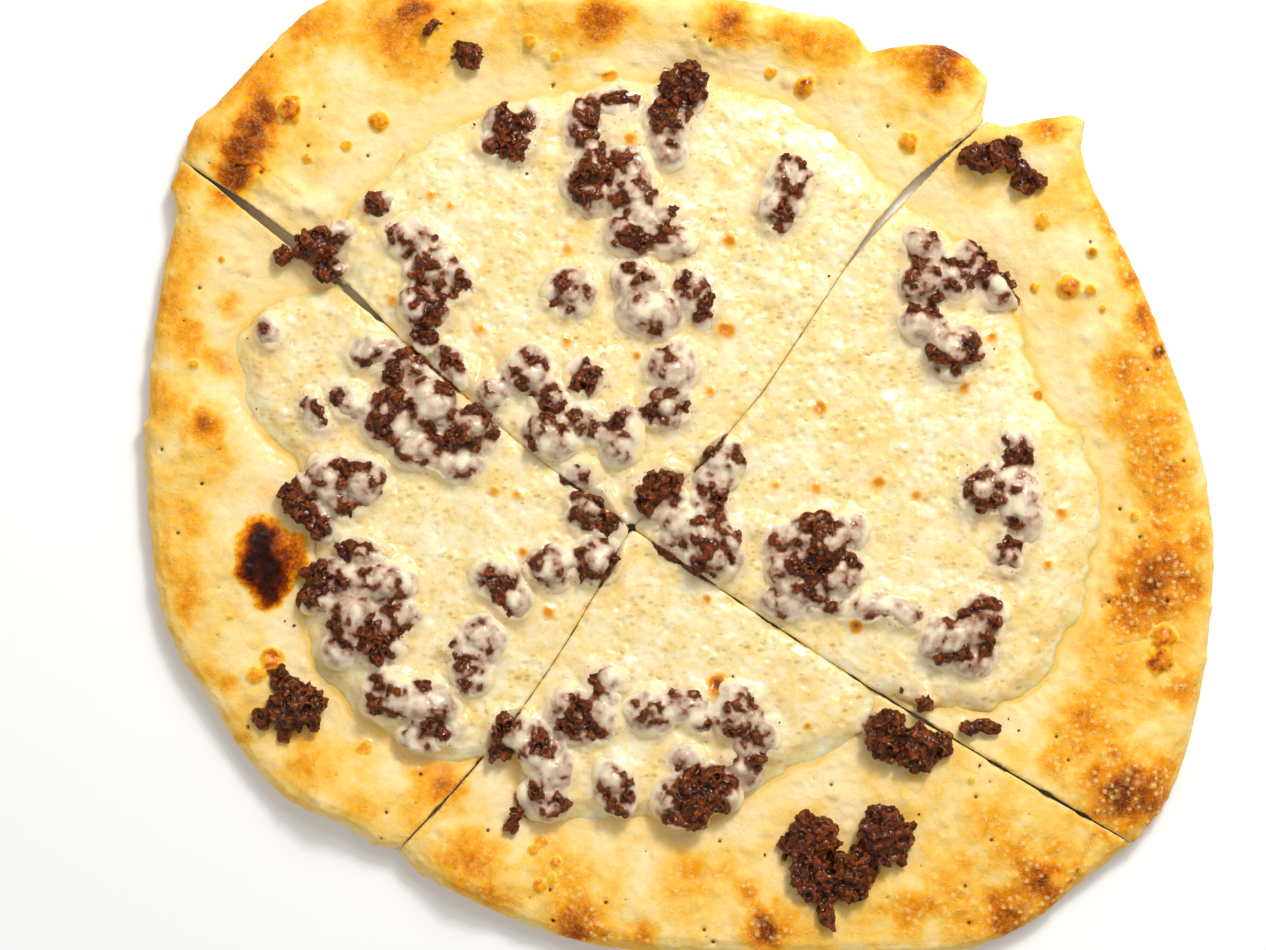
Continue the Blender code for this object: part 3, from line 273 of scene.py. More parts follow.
# Where the cheese has run over the lumps of meat; a strength of 1 hides them.
FILMED = spots(
    (-17.7, 92.5, 3.8), (-15.8, 94.1, 2.7), (3.9, 87.1, 2.4, 0.7), (-11.7, 74.9, 2.4, 0.8),
    (-3.6, 69, 3.2, 0.7), (-1.5, 62.8, 2.4, 0.6), (3.1, 88.2, 2.2, 0.6), (25, 72.2, 3.8, 0.7),
    (-7.4, 43.3, 3.8, 0.8), (-29, 48.5, 3.8, 0.7), (-71.4, 63.3, 2.7, 0.7), (-80.8, 72.2, 2.2, 0.7),
    (-83.3, 33.1, 2.2, 0.8), (-66, 17.7, 4.6), (-68.4, 6.1, 2.7, 0.8), (-58.7, 2.3, 2.4, 0.8),
    (-93.3, -1.5, 2.7, 0.8), (-85.2, -2, 3.2, 0.9), (-85.4, -22.3, 2.4, 0.7), (-87, -29, 2.4, 0.8),
    (-78.1, -30.1, 3, 0.9), (-88.4, -39.3, 2.7, 0.9), (-74.9, -38.7, 2.4, 0.8), (-87.9, -45.2, 2.4, 0.7),
    (-74.9, -61.4, 3.8, 0.9), (-68.1, -62.8, 3.8, 0.95), (-56, -53.3, 2.2, 0.8),
    (-57.9, -47.9, 2.2, 0.6), (-52.5, -49.3, 1.9, 0.6), (-34.9, -25.8, 3.2), (-21.7, -23.6, 3.5),
    (-23.9, -10.1, 2.7, 0.7), (-37.1, 11.5, 3.2, 0.8), (-33.9, 10.4, 2.7, 0.8), (-25.5, 12.8, 2.4, 0.7),
    (-32.8, 20.1, 2.4, 0.6), (-41.1, 29, 2.7, 0.7), (-18.2, 22.3, 2.7, 0.8), (-1.7, 25, 3.8, 0.8),
    (-3.3, 17.4, 2.2), (12.9, 3.9, 3, 0.7), (-5.2, -5.3, 3.2), (1, -13.4, 2.7, 0.7), (17.4, -13.9, 2.7),
    (21.2, -14.7, 2.7), (25, -15.5, 2.2), (28.5, -18.2, 2.7, 0.8), (30.4, -12.8, 2.2, 0.8),
    (42.6, -18.2, 2.4, 0.9), (45.3, -15.5, 2.2, 0.8), (28.5, -34.7, 2.4, 0.7), (52, -36, 4.3),
    (61.2, -37.7, 3.2), (73.3, -45.8, 2.7, 0.9), (76.3, -42.5, 2.4), (73.1, 54.1, 2.7, 0.7),
    (86.3, 50.6, 3.2, 0.8), (65.8, 41.2, 3.2, 0.8), (74.7, 32.5, 3.2, 0.8), (81.7, -4.7, 3.2, 0.9),
    (89.5, -2, 3.2), (80.4, -12.8, 2.7, 0.7), (89.5, -22.5, 2.7, 0.8), (-19, -55.8, 3.5, 0.9),
    (-6.9, -64.7, 3.2, 0.6), (1.5, -62.2, 2.4, 0.7), (-41.7, -68.2, 3.2, 0.6), (-48.7, -76.3, 2.2, 0.5),
    (-33.6, -81.4, 3.2, 0.9), (17.2, -79.8, 2.7, 0.8), (-16.6, -84.4, 2.7, 0.6),
)

# Where the lumps of meat stay free of cheese.
BARE = spots(
    (-56, 112.2, 4.9), (-64.1, 118.9, 3.2), (-44.1, 94.9, 4.9), (-1.5, 101.9, 5.9), (-22.5, 94.6, 2.2),
    (-102.4, -63.3, 7), (6.1, -87.1, 7), (38.5, -110, 8.1), (54.7, -101.9, 6.5), (62.8, -70.9, 7.6),
    (84.4, 83, 7), (-92.4, 60.1, 4.3), (-82.5, -79.8, 2.7), (9.3, -19.6, 2.7), (36.3, -25.2, 3.8),
    (-24.9, 79, 3.2), (-24.9, 26.1, 2.2), (82.6, -65.6, 6.6),
)

# Crumbs of meat that lie alone; the strength is how far one stands out of the cheese.
CRUMBS = spots(
    (-115.1, 38.7, 0.5, 0.5), (-113.8, 17.1, 0.7), (-103.8, -41.4, 1.1, 0.9), (-106.2, -40.1, 0.8, 0.9),
    (-54.6, 24.7, 1.4, 0.9), (9.1, 68.4, 0.7, 0.6), (60.6, -58.7, 1.9, 0.7), (40.9, 53.1, 1.1, 0.5),
    (52.8, -7.7, 1.1, 0.5), (92.5, -69.8, 0.9), (81.7, -79.2, 0.9), (23.7, -103.3, 0.9),
    (-95.4, -24.4, 0.8, 0.8), (-15, -66.8, 0.8, 0.5), (89.8, -66.8, 0.8, 0.9), (63.9, -83.3, 0.4, 0.6),
    (68.2, -110, 0.4, 0.6),
)

# The charred dome on the west side.
CHARRED = spots(
    (-112, -18.6, 7.6, 0.95), (-110.6, -28.4, 7.6, 0.95), (-113.6, -24.4, 6.4, 0.9),
    (-110.4, -33.6, 4.8, 0.6), (-104.6, -24.6, 5.6, 0.5), (-103.6, -19.6, 4.6, 0.4),
)

# Cracks in the crust, each a line through places.
CRACKS = (
    ((112.2, -97.9), (107.4, -108.9), (103.6, -116)),
    ((118.2, -47.1), (123, -45.4), (128.4, -44.7)),
    ((-119.4, 82.2), (-113.2, 82.9), (-107.4, 78.6), (-101.6, 74.3)),
    ((109.4, 96.1), (107.6, 92.6), (103.7, 91.8)),
    ((76.5, 93.7), (79.4, 95.6), (81.8, 99.6)), ((72.4, 87.3), (78.6, 90.6)),
    ((-103.4, -9.6), (-98, -14.2), (-97.6, -24.4)),
)

# Where the foot of the rim is torn and crumbly.
FRINGE = spots((-84.6, -99.2, 8), (-76.3, -102.8, 8), (-70.6, -107.4, 8))


def ramp(values: Array, low: float, high: float) -> Array:
    """A smooth step: 0 at low, 1 at high, and level beyond them.

    Args:
        values: Any numbers.
        low: Where the step starts; it may lie above high, and the step then falls.
        high: Where it ends.

    Returns:
        A share from 0 to 1 for each value.
    """
    share = np.clip((values - low) / (high - low), 0.0, 1.0)
    return share * share * (3.0 - 2.0 * share)


class Noise:
    """Seeded noise over points in space, the same on every run."""

    CELLS = 256
    SHIFT = 17.3  # how far apart the waves of different lengths are read, in cells

    def __init__(self, seed: int) -> None:
        """Draws the tables that the noise is read from."""
        draw = np.random.default_rng(seed)
        self.order = draw.permutation(self.CELLS)
        slopes = draw.normal(size=(self.CELLS, 3))
        self.slopes = slopes / np.linalg.norm(slopes, axis=1)[:, None]
        self.shares = draw.random((self.CELLS, 4))

    def entry(self, cells: Array) -> Array:
        """The table entry that belongs to each whole-numbered cell."""
        last = self.CELLS - 1
        along = self.order[cells[:, 0] & last]
        across = self.order[(along + cells[:, 1]) & last]
        return self.order[(across + cells[:, 2]) & last]

    def waves(self, points: Array, length: float, octaves: int = 1) -> Array:
        """Smooth swells.

        Args:
            points: One place a row, in metres.
            length: From one swell to the next, in millimetres.
            octaves: How many finer waves are added, each half as long and half as high.

        Returns:
            A height for each point, between about -1 and 1.
        """
        total = np.zeros(len(points))
        for octave in range(octaves):
            places = points * (2**octave / (length * MM)) + self.SHIFT * octave
            total += 0.5**octave * self._swell(places)
        return total

    def _swell(self, places: Array) -> Array:
        """Gradient noise with one swell a cell.

        Args:
            places: One place a row, in cells.

        Returns:
            A height for each place, between about -1 and 1.
        """
        base = np.floor(places).astype(int)
        part = places - base
        ease = part**3 * (part * (part * 6.0 - 15.0) + 10.0)
        total = np.zeros(len(places))
        for corner in itertools.product((0, 1), repeat=3):
            step = np.array(corner)
            weight = np.prod(np.where(step, ease, 1.0 - ease), axis=1)
            slope = self.slopes[self.entry(base + step)]
            total += weight * np.einsum("ij,ij->i", slope, part - step)
        return 1.6 * total

    def cells(
        self, points: Array, size: float, flat: bool = False
    ) -> tuple[Array, Array, Array]:
        """Cell noise, for what comes as single dots, pits or grains.

        Args:
            points: One place a row, in metres.
            size: From one seed to the next, in millimetres.
            flat: Whether the seeds lie in a plane and heights are left out.

        Returns:
            For each point the distances to the nearest and the second seed, in metres, and
            a random share that belongs to the nearest one.
        """
        places = points / (size * MM)
        if flat:
            places = flattened(places)
        base = np.floor(places).astype(int)
        nearest = np.full(len(places), 9.0)
        second = np.full(len(places), 9.0)
        share = np.zeros(len(places))
        ups = (0,) if flat else (-1, 0, 1)
        for step in itertools.product((-1, 0, 1), (-1, 0, 1), ups):
            cell = base + np.array(step)
            drawn = self.shares[self.entry(cell)]
            seeds = cell + drawn[:, :3]
            if flat:
                seeds[:, 2] = 0.0
            away = np.linalg.norm(places - seeds, axis=1)
            closer = away < nearest
            second = np.where(closer, nearest, np.minimum(second, away))
            share = np.where(closer, drawn[:, 3], share)
            nearest = np.where(closer, away, nearest)
        return nearest * (size * MM), second * (size * MM), share


NOISE = Noise(1266)


def marked(
    points: Array,
    marks: tuple[Spot, ...],
    ragged: float = 0.3,
    core: float = 0.35,
    reach: float = 1.25,
    length: float = 5.0,
) -> Array:
    """How strongly a set of marks shows at each point, seen from above.

    Args:
        points: One place a row, in metres.
        marks: The marks.
        ragged: How far the marks' outlines wander, as a share of their radius.
        core: The share of the radius inside which a mark is at its full strength.
        reach: The share of the radius at which a mark has faded out.
        length: The length of the waves in the outlines, in millimetres.

    Returns:
        A share from 0 to 1 for each point. Marks that overlap add up without passing 1.
    """
    wander = NOISE.waves(points, length, 3) * ragged
    left = np.ones(len(points))
    for mark in marks:
        across = points[:, 0] - mark.x * MM
        along = points[:, 1] - mark.y * MM
        span = (reach + ragged) * mark.radius * MM
        near = np.flatnonzero(np.maximum(abs(across), abs(along)) < span)
        away = np.hypot(across[near], along[near]) / (mark.radius * MM) + wander[near]
        left[near] *= 1.0 - mark.strength * ramp(away, reach, core)
    return 1.0 - left


def raised(points: Array, marks: tuple[Spot, ...]) -> Array:
    """The height that a set of soft bulges and hollows adds at each point.

    Args:
        points: One place a row, in metres.
        marks: The bulges, each with its height in millimetres as its strength.

    Returns:
        The sum of all heights, in metres.
    """
    wander = NOISE.waves(points, 6.0, 2) * 0.2
    height = np.zeros(len(points))
    for mark in marks:
        away = np.hypot(points[:, 0] - mark.x * MM, points[:, 1] - mark.y * MM)
        share = ramp(away / (mark.radius * MM) + wander, 1.15, 0.15)
        height += mark.strength * MM * share
    return height


def dotted(points: Array, places: tuple, radius: float) -> Array:
    """Round dots of one size, seen from above.

    Args:
        points: One place a row, in metres.
        places: The middles of the dots, in millimetres.
        radius: Their radius, in metres.

    Returns:
        A share from 1 in the middle of a dot to 0 at its radius.
    """
    marks = tuple(Spot(x, y, radius / MM) for x, y in places)
    return marked(points, marks, ragged=0.0, core=0.0)


def groove(points: Array, path: tuple, width: float) -> Array:
    """How close points are to a line, seen from above.

    Args:
        points: One place a row, in metres.
        path: The places that the line runs through, in millimetres.
        width: How far from the line it fades out, in metres.

    Returns:
        A share from 1 on the line to 0 at the width.
    """
    best = np.full(len(points), width)
    wander = NOISE.waves(points, 3.0, 2) * 0.5 * MM
    flat = points[:, :2] + wander[:, None]
    for start, end in zip(path, path[1:]):
        first = np.array(start) * MM
        along = np.array(end) * MM - first
        share = np.clip((flat - first) @ along / (along @ along), 0.0, 1.0)
        away = np.linalg.norm(flat - first - share[:, None] * along, axis=1)
        best = np.minimum(best, away)
    return 1.0 - best / width


def take(piece: Piece) -> None:
    """Makes a piece the only selected and the active one."""
    bpy.ops.object.select_all(action="DESELECT")
    piece.select_set(True)
    bpy.context.view_layer.objects.active = piece


def shape_with(piece: Piece, kind: str, **settings: object) -> None:
    """Puts a modifier on a piece and applies it.

    Args:
        piece: The piece.
        kind: Blender's name for the kind of modifier.
        **settings: What to set on the modifier.
    """
    take(piece)
    modifier = piece.modifiers.new(kind.title(), kind)
    for name, value in settings.items():
        setattr(modifier, name, value)
    bpy.ops.object.modifier_apply(modifier=modifier.name)


def new_piece(name: str, mesh: bpy.types.Mesh) -> Piece:
    """Puts a mesh in the scene as an object at the origin."""
    piece = bpy.data.objects.new(name, mesh)
    bpy.context.scene.collection.objects.link(piece)
    return piece


def vectors_of(items: bpy.types.bpy_prop_collection, name: str) -> Array:
    """A vector of each of a mesh's points or faces, as rows."""
    flat = np.empty(len(items) * 3, np.float32)
    items.foreach_get(name, flat)
    return flat.reshape(-1, 3).astype(float)


def mesh_of(name: str, points: Array, triangles: Array) -> bpy.types.Mesh:
    """Makes a mesh from arrays, quickly even when large.

    Args:
        name: The mesh's name.
        points: One place a row.
        triangles: Three of the points' numbers a row.

    Returns:
        The mesh.
    """
    mesh = bpy.data.meshes.new(name)
    mesh.vertices.add(len(points))
    mesh.vertices.foreach_set("co", points.astype(np.float32).ravel())
    mesh.loops.add(triangles.size)
    mesh.loops.foreach_set("vertex_index", triangles.astype(np.int32).ravel())
    mesh.polygons.add(len(triangles))
    mesh.polygons.foreach_set("loop_start", np.arange(0, triangles.size, 3, dtype=np.int32))
    mesh.update(calc_edges=True)
    return mesh


def joined(name: str, pieces: list[Piece]) -> Piece:
    """Joins pieces into one.

    Args:
        name: The name of the whole.
        pieces: The pieces, which are gone afterwards.

    Returns:
        The whole.
    """
    take(pieces[0])
    for piece in pieces[1:]:
        piece.select_set(True)
    if len(pieces) > 1:
        bpy.ops.object.join()
    whole = bpy.context.view_layer.objects.active
    whole.name = name
    whole.data.name = name
    return whole


def copied(name: str, nodes: list[str]) -> Piece:
    """Copies solids of the frame into one new piece, with the corners of their facets merged.

    Args:
        name: The new piece's name.
        nodes: The solids.

    Returns:
        The new piece, with no material.
    """
    copies = [new_piece(f"{name}_{node}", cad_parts[node].data.copy()) for node in nodes]
    whole = joined(name, copies)
    whole.data.materials.clear()
    bpy.ops.object.mode_set(mode="EDIT")
    bpy.ops.mesh.select_all(action="SELECT")
    bpy.ops.mesh.remove_doubles(threshold=0.01 * MM)
    bpy.ops.mesh.customdata_custom_splitnormals_clear()
    bpy.ops.object.mode_set(mode="OBJECT")
    return whole


def remeshed(piece: Piece, cell: float) -> None:
    """Gives a piece an even skin of small faces."""
    shape_with(
        piece, "REMESH", mode="VOXEL", voxel_size=cell * COARSER, use_smooth_shade=True
    )


def thin_out(piece: Piece, faces: Array, share: float) -> None:
    """Leaves only a share of some of a piece's faces, larger ones in their place.

    Args:
        piece: The piece.
        faces: Which of its faces, one truth value for each.
        share: How many of them stay.
    """
    mesh = piece.data
    mesh.vertices.foreach_set("select", np.zeros(len(mesh.vertices), bool))
    mesh.edges.foreach_set("select", np.zeros(len(mesh.edges), bool))
    mesh.polygons.foreach_set("select", faces)
    take(piece)
    bpy.context.tool_settings.mesh_select_mode = (False, False, True)
    bpy.ops.object.mode_set(mode="EDIT")
    bpy.ops.mesh.decimate(ratio=share)
    bpy.ops.object.mode_set(mode="OBJECT")


def thin_out_below(piece: Piece, tilt: float, share: float) -> None:
    """Leaves only larger faces where a piece looks down.

    Args:
        piece: The piece.
        tilt: A face looks down if the height of its normal is less than this.
        share: How many of those faces stay.
    """
    thin_out(piece, vectors_of(piece.data.polygons, "normal")[:, 2] < tilt, share)


def lifted(points: Array, height: float) -> Array:
    """The same places, but higher."""
    return points + np.array((0.0, 0.0, height))


def flattened(points: Array) -> Array:
    """The same places, but with no height."""
    return points * np.array((1.0, 1.0, 0.0))


def tree_of(*objects: Piece) -> BVHTree:
    """A search tree over the faces of several objects whose places are in their meshes."""
    points: list[Vector] = []
    faces: list[tuple[int, ...]] = []
    for item in objects:
        first = len(points)
        points.extend(vertex.co.copy() for vertex in item.data.vertices)
        faces.extend(tuple(first + i for i in face.vertices) for face in item.data.polygons)
    return BVHTree.FromPolygons(points, faces)


def distance_to(tree: BVHTree, points: Array, reach: float) -> Array:
    """How far each point is from a tree's faces.

    Args:
        tree: The faces.
        points: One place a row.
        reach: How far to look.

    Returns:
        The distance for each point, and reach where it is further.
    """
    away = np.full(len(points), reach)
    for index, point in enumerate(points.tolist()):
        found = tree.find_nearest(point, reach)[3]
        if found is not None:
            away[index] = found
    return away


def depth_to(tree: BVHTree, points: Array, up: bool, reach: float) -> Array:
    """How far each point is from a tree's faces straight above or below it.

    Args:
        tree: The faces.
        points: One place a row.
        up: Whether to look up, and otherwise down.
        reach: How far to look.

    Returns:
        The distance for each point, and reach where nothing is met.
    """
    away = np.full(len(points), reach)
    direction = (0.0, 0.0, 1.0 if up else -1.0)
    for index, point in enumerate(points.tolist()):
        found = tree.ray_cast(point, direction, reach)[3]
        if found is not None:
            away[index] = found
    return away


class Skin:
    """The points of a piece as arrays, for sculpting it and painting masks on it."""

    def __init__(self, piece: Piece) -> None:
        """Reads the piece's points."""
        self.mesh = piece.data
        self.read()

    def read(self) -> None:
        """Reads the places and the normals of the points."""
        self.places = vectors_of(self.mesh.vertices, "co")
        self.normals = vectors_of(self.mesh.vertex_normals, "vector")

    def lift(self, heights: Array) -> None:
        """Moves each point along its normal."""
        self.places += self.normals * heights[:, None]
        self.store()

    def store(self) -> None:
        """Writes the places back to the mesh and reads it again."""
        self.mesh.vertices.foreach_set("co", self.places.astype(np.float32).ravel())
        self.mesh.update()
        self.read()

    def keep_in_box(self) -> None:
        """Presses what stands above the frame's box softly back, and lifts what lies below it."""
        low, high = CAD_BOX[0][2], CAD_BOX[1][2]
        heights = self.places[:, 2]
        over = heights - (high - PRESSED)
        pressed = high - PRESSED + PRESSED * np.tanh(over / PRESSED)
        self.places[:, 2] = np.maximum(np.where(over > 0.0, pressed, heights), low)
        self.store()

    def eased(self, rounds: int) -> Array:
        """The places that the points would have if the skin were smoothed.

        Args:
            rounds: How often it would be smoothed.

        Returns:
            One place a row.
        """
        copy = new_piece("eased", self.mesh.copy())
        shape_with(copy, "SMOOTH", factor=0.5, iterations=rounds)
        mesh = copy.data
        places = vectors_of(mesh.vertices, "co")
        bpy.data.objects.remove(copy)
        bpy.data.meshes.remove(mesh)
        return places

    def standing_out(self, rounds: int) -> Array:
        """How far each point stands out of the smoothed skin, in metres."""
        return np.einsum("ij,ij->i", self.places - self.eased(rounds), self.normals)

    def spread(self, mask: Array, rounds: int) -> Array:
        """A mask after it has bled a little way along the skin.

        Args:
            mask: One number a point.
            rounds: How many edges far it bleeds.

        Returns:
            The softened mask.
        """
        ends = np.empty(len(self.mesh.edges) * 2, np.int32)
        self.mesh.edges.foreach_get("vertices", ends)
        first, second = ends.reshape(-1, 2).T
        count = len(mask)
        links = np.bincount(first, minlength=count) + np.bincount(second, minlength=count)
        for _ in range(rounds):
            around = np.bincount(first, mask[second], count)
            around += np.bincount(second, mask[first], count)
            mask = 0.5 * mask + 0.5 * around / np.maximum(links, 1)
        return mask

    def paint(self, name: str, mask: Array) -> None:
        """Stores a number for each point, for the material to read by that name."""
        layer = self.mesh.attributes.get(name)
        if layer is None:
            layer = self.mesh.attributes.new(name, "FLOAT", "POINT")
        layer.data.foreach_set("value", mask.astype(np.float32))


def tone(red: int, green: int, blue: int, share: float = 1.0) -> Colour:
    """A colour given in the 0 to 255 steps of a screen, as the shaders take it.

    Args:
        red: The red step.
        green: The green step.
        blue: The blue step.
        share: How much of that brightness the surface itself has.

    Returns:
        The linear colour, with an alpha of 1.
    """
    steps = (step / 255.0 for step in (red, green, blue))
    linear = [((s + 0.055) / 1.055) ** 2.4 if s > 0.04045 else s / 12.92 for s in steps]
    return (linear[0] * share, linear[1] * share, linear[2] * share, 1.0)


class Desk:
    """Adds shader nodes to a tree and wires them, so that a finish reads from top to bottom."""

    def __init__(self, tree: Tree) -> None:
        """Starts on an empty tree."""
        self.tree = tree

    def add(self, kind: str, **settings: object) -> Node:
        """A new node, with its own settings."""
        node = self.tree.nodes.new(kind)
        for name, value in settings.items():
            setattr(node, name, value)
        return node

    def feed(self, socket: Socket, value: object) -> None:
        """Wires another socket into this one, or sets its number or colour."""
        if isinstance(value, Socket):
            self.tree.links.new(value, socket)
        else:
            socket.default_value = value

    def math(self, operation: str, first: object, second: object = 0.0) -> Socket:
        """One sum on one or two numbers."""
        node = self.add("ShaderNodeMath", operation=operation)
        self.feed(node.inputs[0], first)
        self.feed(node.inputs[1], second)
        return node.outputs[0]

    def times(self, first: object, second: object) -> Socket:
        """The product of two numbers."""
        return self.math("MULTIPLY", first, second)

    def plus(self, first: object, second: object) -> Socket:
        """The sum of two numbers."""
        return self.math("ADD", first, second)

    def less(self, first: object, second: object) -> Socket:
        """The first number less the second."""
        return self.math("SUBTRACT", first, second)

    def step(self, value: object, low: float, high: float, to: tuple = (0.0, 1.0)) -> Socket:
        """A smooth step of a number from low to high, put out between the two ends of to."""
        node = self.add("ShaderNodeMapRange", interpolation_type="SMOOTHSTEP")
        self.feed(node.inputs["Value"], value)
        for name, number in zip(("From Min", "From Max", "To Min", "To Max"), (low, high, *to)):
            node.inputs[name].default_value = number
        return node.outputs[0]

    def mix(self, share: object, first: object, second: object, blend: str = "MIX") -> Socket:
        """A blend of two colours."""
        node = self.add("ShaderNodeMix", data_type="RGBA", blend_type=blend)
        self.feed(node.inputs["Factor"], share)
        self.feed(node.inputs[6], first)
        self.feed(node.inputs[7], second)
        return node.outputs[2]

    def scale_of(self, value: object, stops: Scale) -> Socket:
        """A colour read from a scale of colours.

        Args:
            value: The number, or a socket, that the colour is read at.
            stops: The scale.

        Returns:
            The socket that puts the colour out.
        """
        node = self.add("ShaderNodeValToRGB")
        scale = node.color_ramp.elements
        for end, (place, colour) in ((scale[0], stops[0]), (scale[1], stops[-1])):
            end.position = place
            end.color = colour
        for place, colour in stops[1:-1]:
            scale.new(place).color = colour
        self.feed(node.inputs[0], value)
        return node.outputs[0]

    def noise(self, where: Socket, scale: object, detail: float, rough: float) -> Socket:
        """Cloudy noise, about 0.5 on average; scale is in swells a metre."""
        node = self.add("ShaderNodeTexNoise")
        self.feed(node.inputs["Vector"], where)
        self.feed(node.inputs["Scale"], scale)
        self.feed(node.inputs["Detail"], detail)
        self.feed(node.inputs["Roughness"], rough)
        return node.outputs["Fac"]

    def cells(self, where: Socket, scale: object) -> Node:
        """Cell noise, with its distance and its colour."""
        node = self.add("ShaderNodeTexVoronoi")
        self.feed(node.inputs["Vector"], where)
        self.feed(node.inputs["Scale"], scale)
        return node

    def mask(self, name: str) -> Socket:
        """A mask that was painted on the piece."""
        return self.add("ShaderNodeAttribute", attribute_name=name).outputs["Fac"]

    def group(self, tree: Tree, **inputs: object) -> Node:
        """A shared effect, with its own values for its inputs."""
        node = self.add("ShaderNodeGroup", node_tree=tree)
        for name, value in inputs.items():
            self.feed(node.inputs[name], value)
        return node

    def bump(self, height: Socket, depth: float, strength: float) -> Socket:
        """A normal that shows a height; depth is what a height of 1 stands for, in metres."""
        node = self.add("ShaderNodeBump")
        node.inputs["Strength"].default_value = strength
        node.inputs["Distance"].default_value = depth
        self.feed(node.inputs["Height"], height)
        return node.outputs["Normal"]


def new_group(name: str, inputs: tuple[str, ...], outputs: tuple[str, ...]) -> tuple:
    """An empty effect that is read at a place and has named numbers.

    Args:
        name: The effect's name.
        inputs: The names of the numbers that it takes.
        outputs: The names of the numbers that it puts out.

    Returns:
        The group's tree, a desk on it, and the sockets of its inputs and outputs by name.
    """
    tree = bpy.data.node_groups.new(name, "ShaderNodeTree")
    tree.interface.new_socket("Place", in_out="INPUT", socket_type="NodeSocketVector")
    for direction, names in (("INPUT", inputs), ("OUTPUT", outputs)):
        for socket in names:
            tree.interface.new_socket(socket, in_out=direction, socket_type="NodeSocketFloat")
    desk = Desk(tree)
    return tree, desk, desk.add("NodeGroupInput").outputs, desk.add("NodeGroupOutput").inputs


def make_specks() -> Tree:
    """Small soft dots that lie apart, such as the blisters of a crust or the specks in cheese."""
    tree, desk, given, made = new_group("fine_specks", ("Scale", "Size", "Share"), ("Dot", "Ring"))
    cell = desk.cells(given["Place"], given["Scale"])
    parts = desk.add("ShaderNodeSeparateColor")
    desk.feed(parts.inputs[0], cell.outputs["Color"])
    chosen = desk.math("LESS_THAN", parts.outputs[0], given["Share"])
    own_size = desk.times(given["Size"], desk.step(parts.outputs[1], 0.0, 1.0, (0.45, 1.0)))
    reach = desk.math("DIVIDE", cell.outputs["Distance"], own_size)
    dot = desk.step(reach, 1.0, 0.45)
    ring = desk.times(desk.step(reach, 1.7, 1.1), desk.step(reach, 0.6, 1.0))
    desk.feed(made["Dot"], desk.times(dot, chosen))
    desk.feed(made["Ring"], desk.times(ring, chosen))
    return tree


def make_mottle() -> Tree:
    """Cloudy patches, sharper or softer, for uneven baking and uneven melting."""
    tree, desk, given, made = new_group("mottle", ("Scale", "Middle", "Softness"), ("Patch",))
    cloud = desk.noise(given["Place"], given["Scale"], 5.0, 0.62)
    share = desk.math("DIVIDE", desk.less(cloud, given["Middle"]), given["Softness"])
    desk.feed(made["Patch"], desk.step(share, -1.0, 1.0))
    return tree


def make_fibres() -> Tree:
    """Fine wandering lines, as on a stretched and baked skin of dough."""
    tree, desk, given, made = new_group("fibres", ("Scale",), ("Line",))
    bent = desk.add("ShaderNodeTexNoise")
    desk.feed(bent.inputs["Vector"], given["Place"])
    desk.feed(bent.inputs["Scale"], 160.0)
    shift = desk.add("ShaderNodeVectorMath", operation="MULTIPLY_ADD")
    desk.feed(shift.inputs[0], bent.outputs["Color"])
    shift.inputs[1].default_value = (5.0 * MM, 5.0 * MM, 5.0 * MM)
    desk.feed(shift.inputs[2], given["Place"])
    fine = desk.noise(shift.outputs[0], given["Scale"], 2.0, 0.5)
    from_middle = desk.math("ABSOLUTE", desk.less(fine, 0.5))
    desk.feed(made["Line"], desk.step(from_middle, 0.045, 0.0))
    return tree


@dataclass(frozen=True)
class Effects:
    """The effects that the finishes share."""

    specks: Tree
    mottle: Tree
    fibres: Tree


@dataclass(frozen=True)
class Gloss:
    """How a surface takes the light; each value is the same all over it.

    Attributes:
        specular: How strongly it mirrors.
        coat: How much of a clear coat of fat it has.
        coat_roughness: How matt that coat is.
        depth: How much light passes under the surface.
        depth_scale: How far that light gets, in metres.
        depth_colour: How far the red, green and blue of it get, as shares of that.
    """

    specular: float
    coat: float
    coat_roughness: float
    depth: float
    depth_scale: float
    depth_colour: tuple[float, float, float]


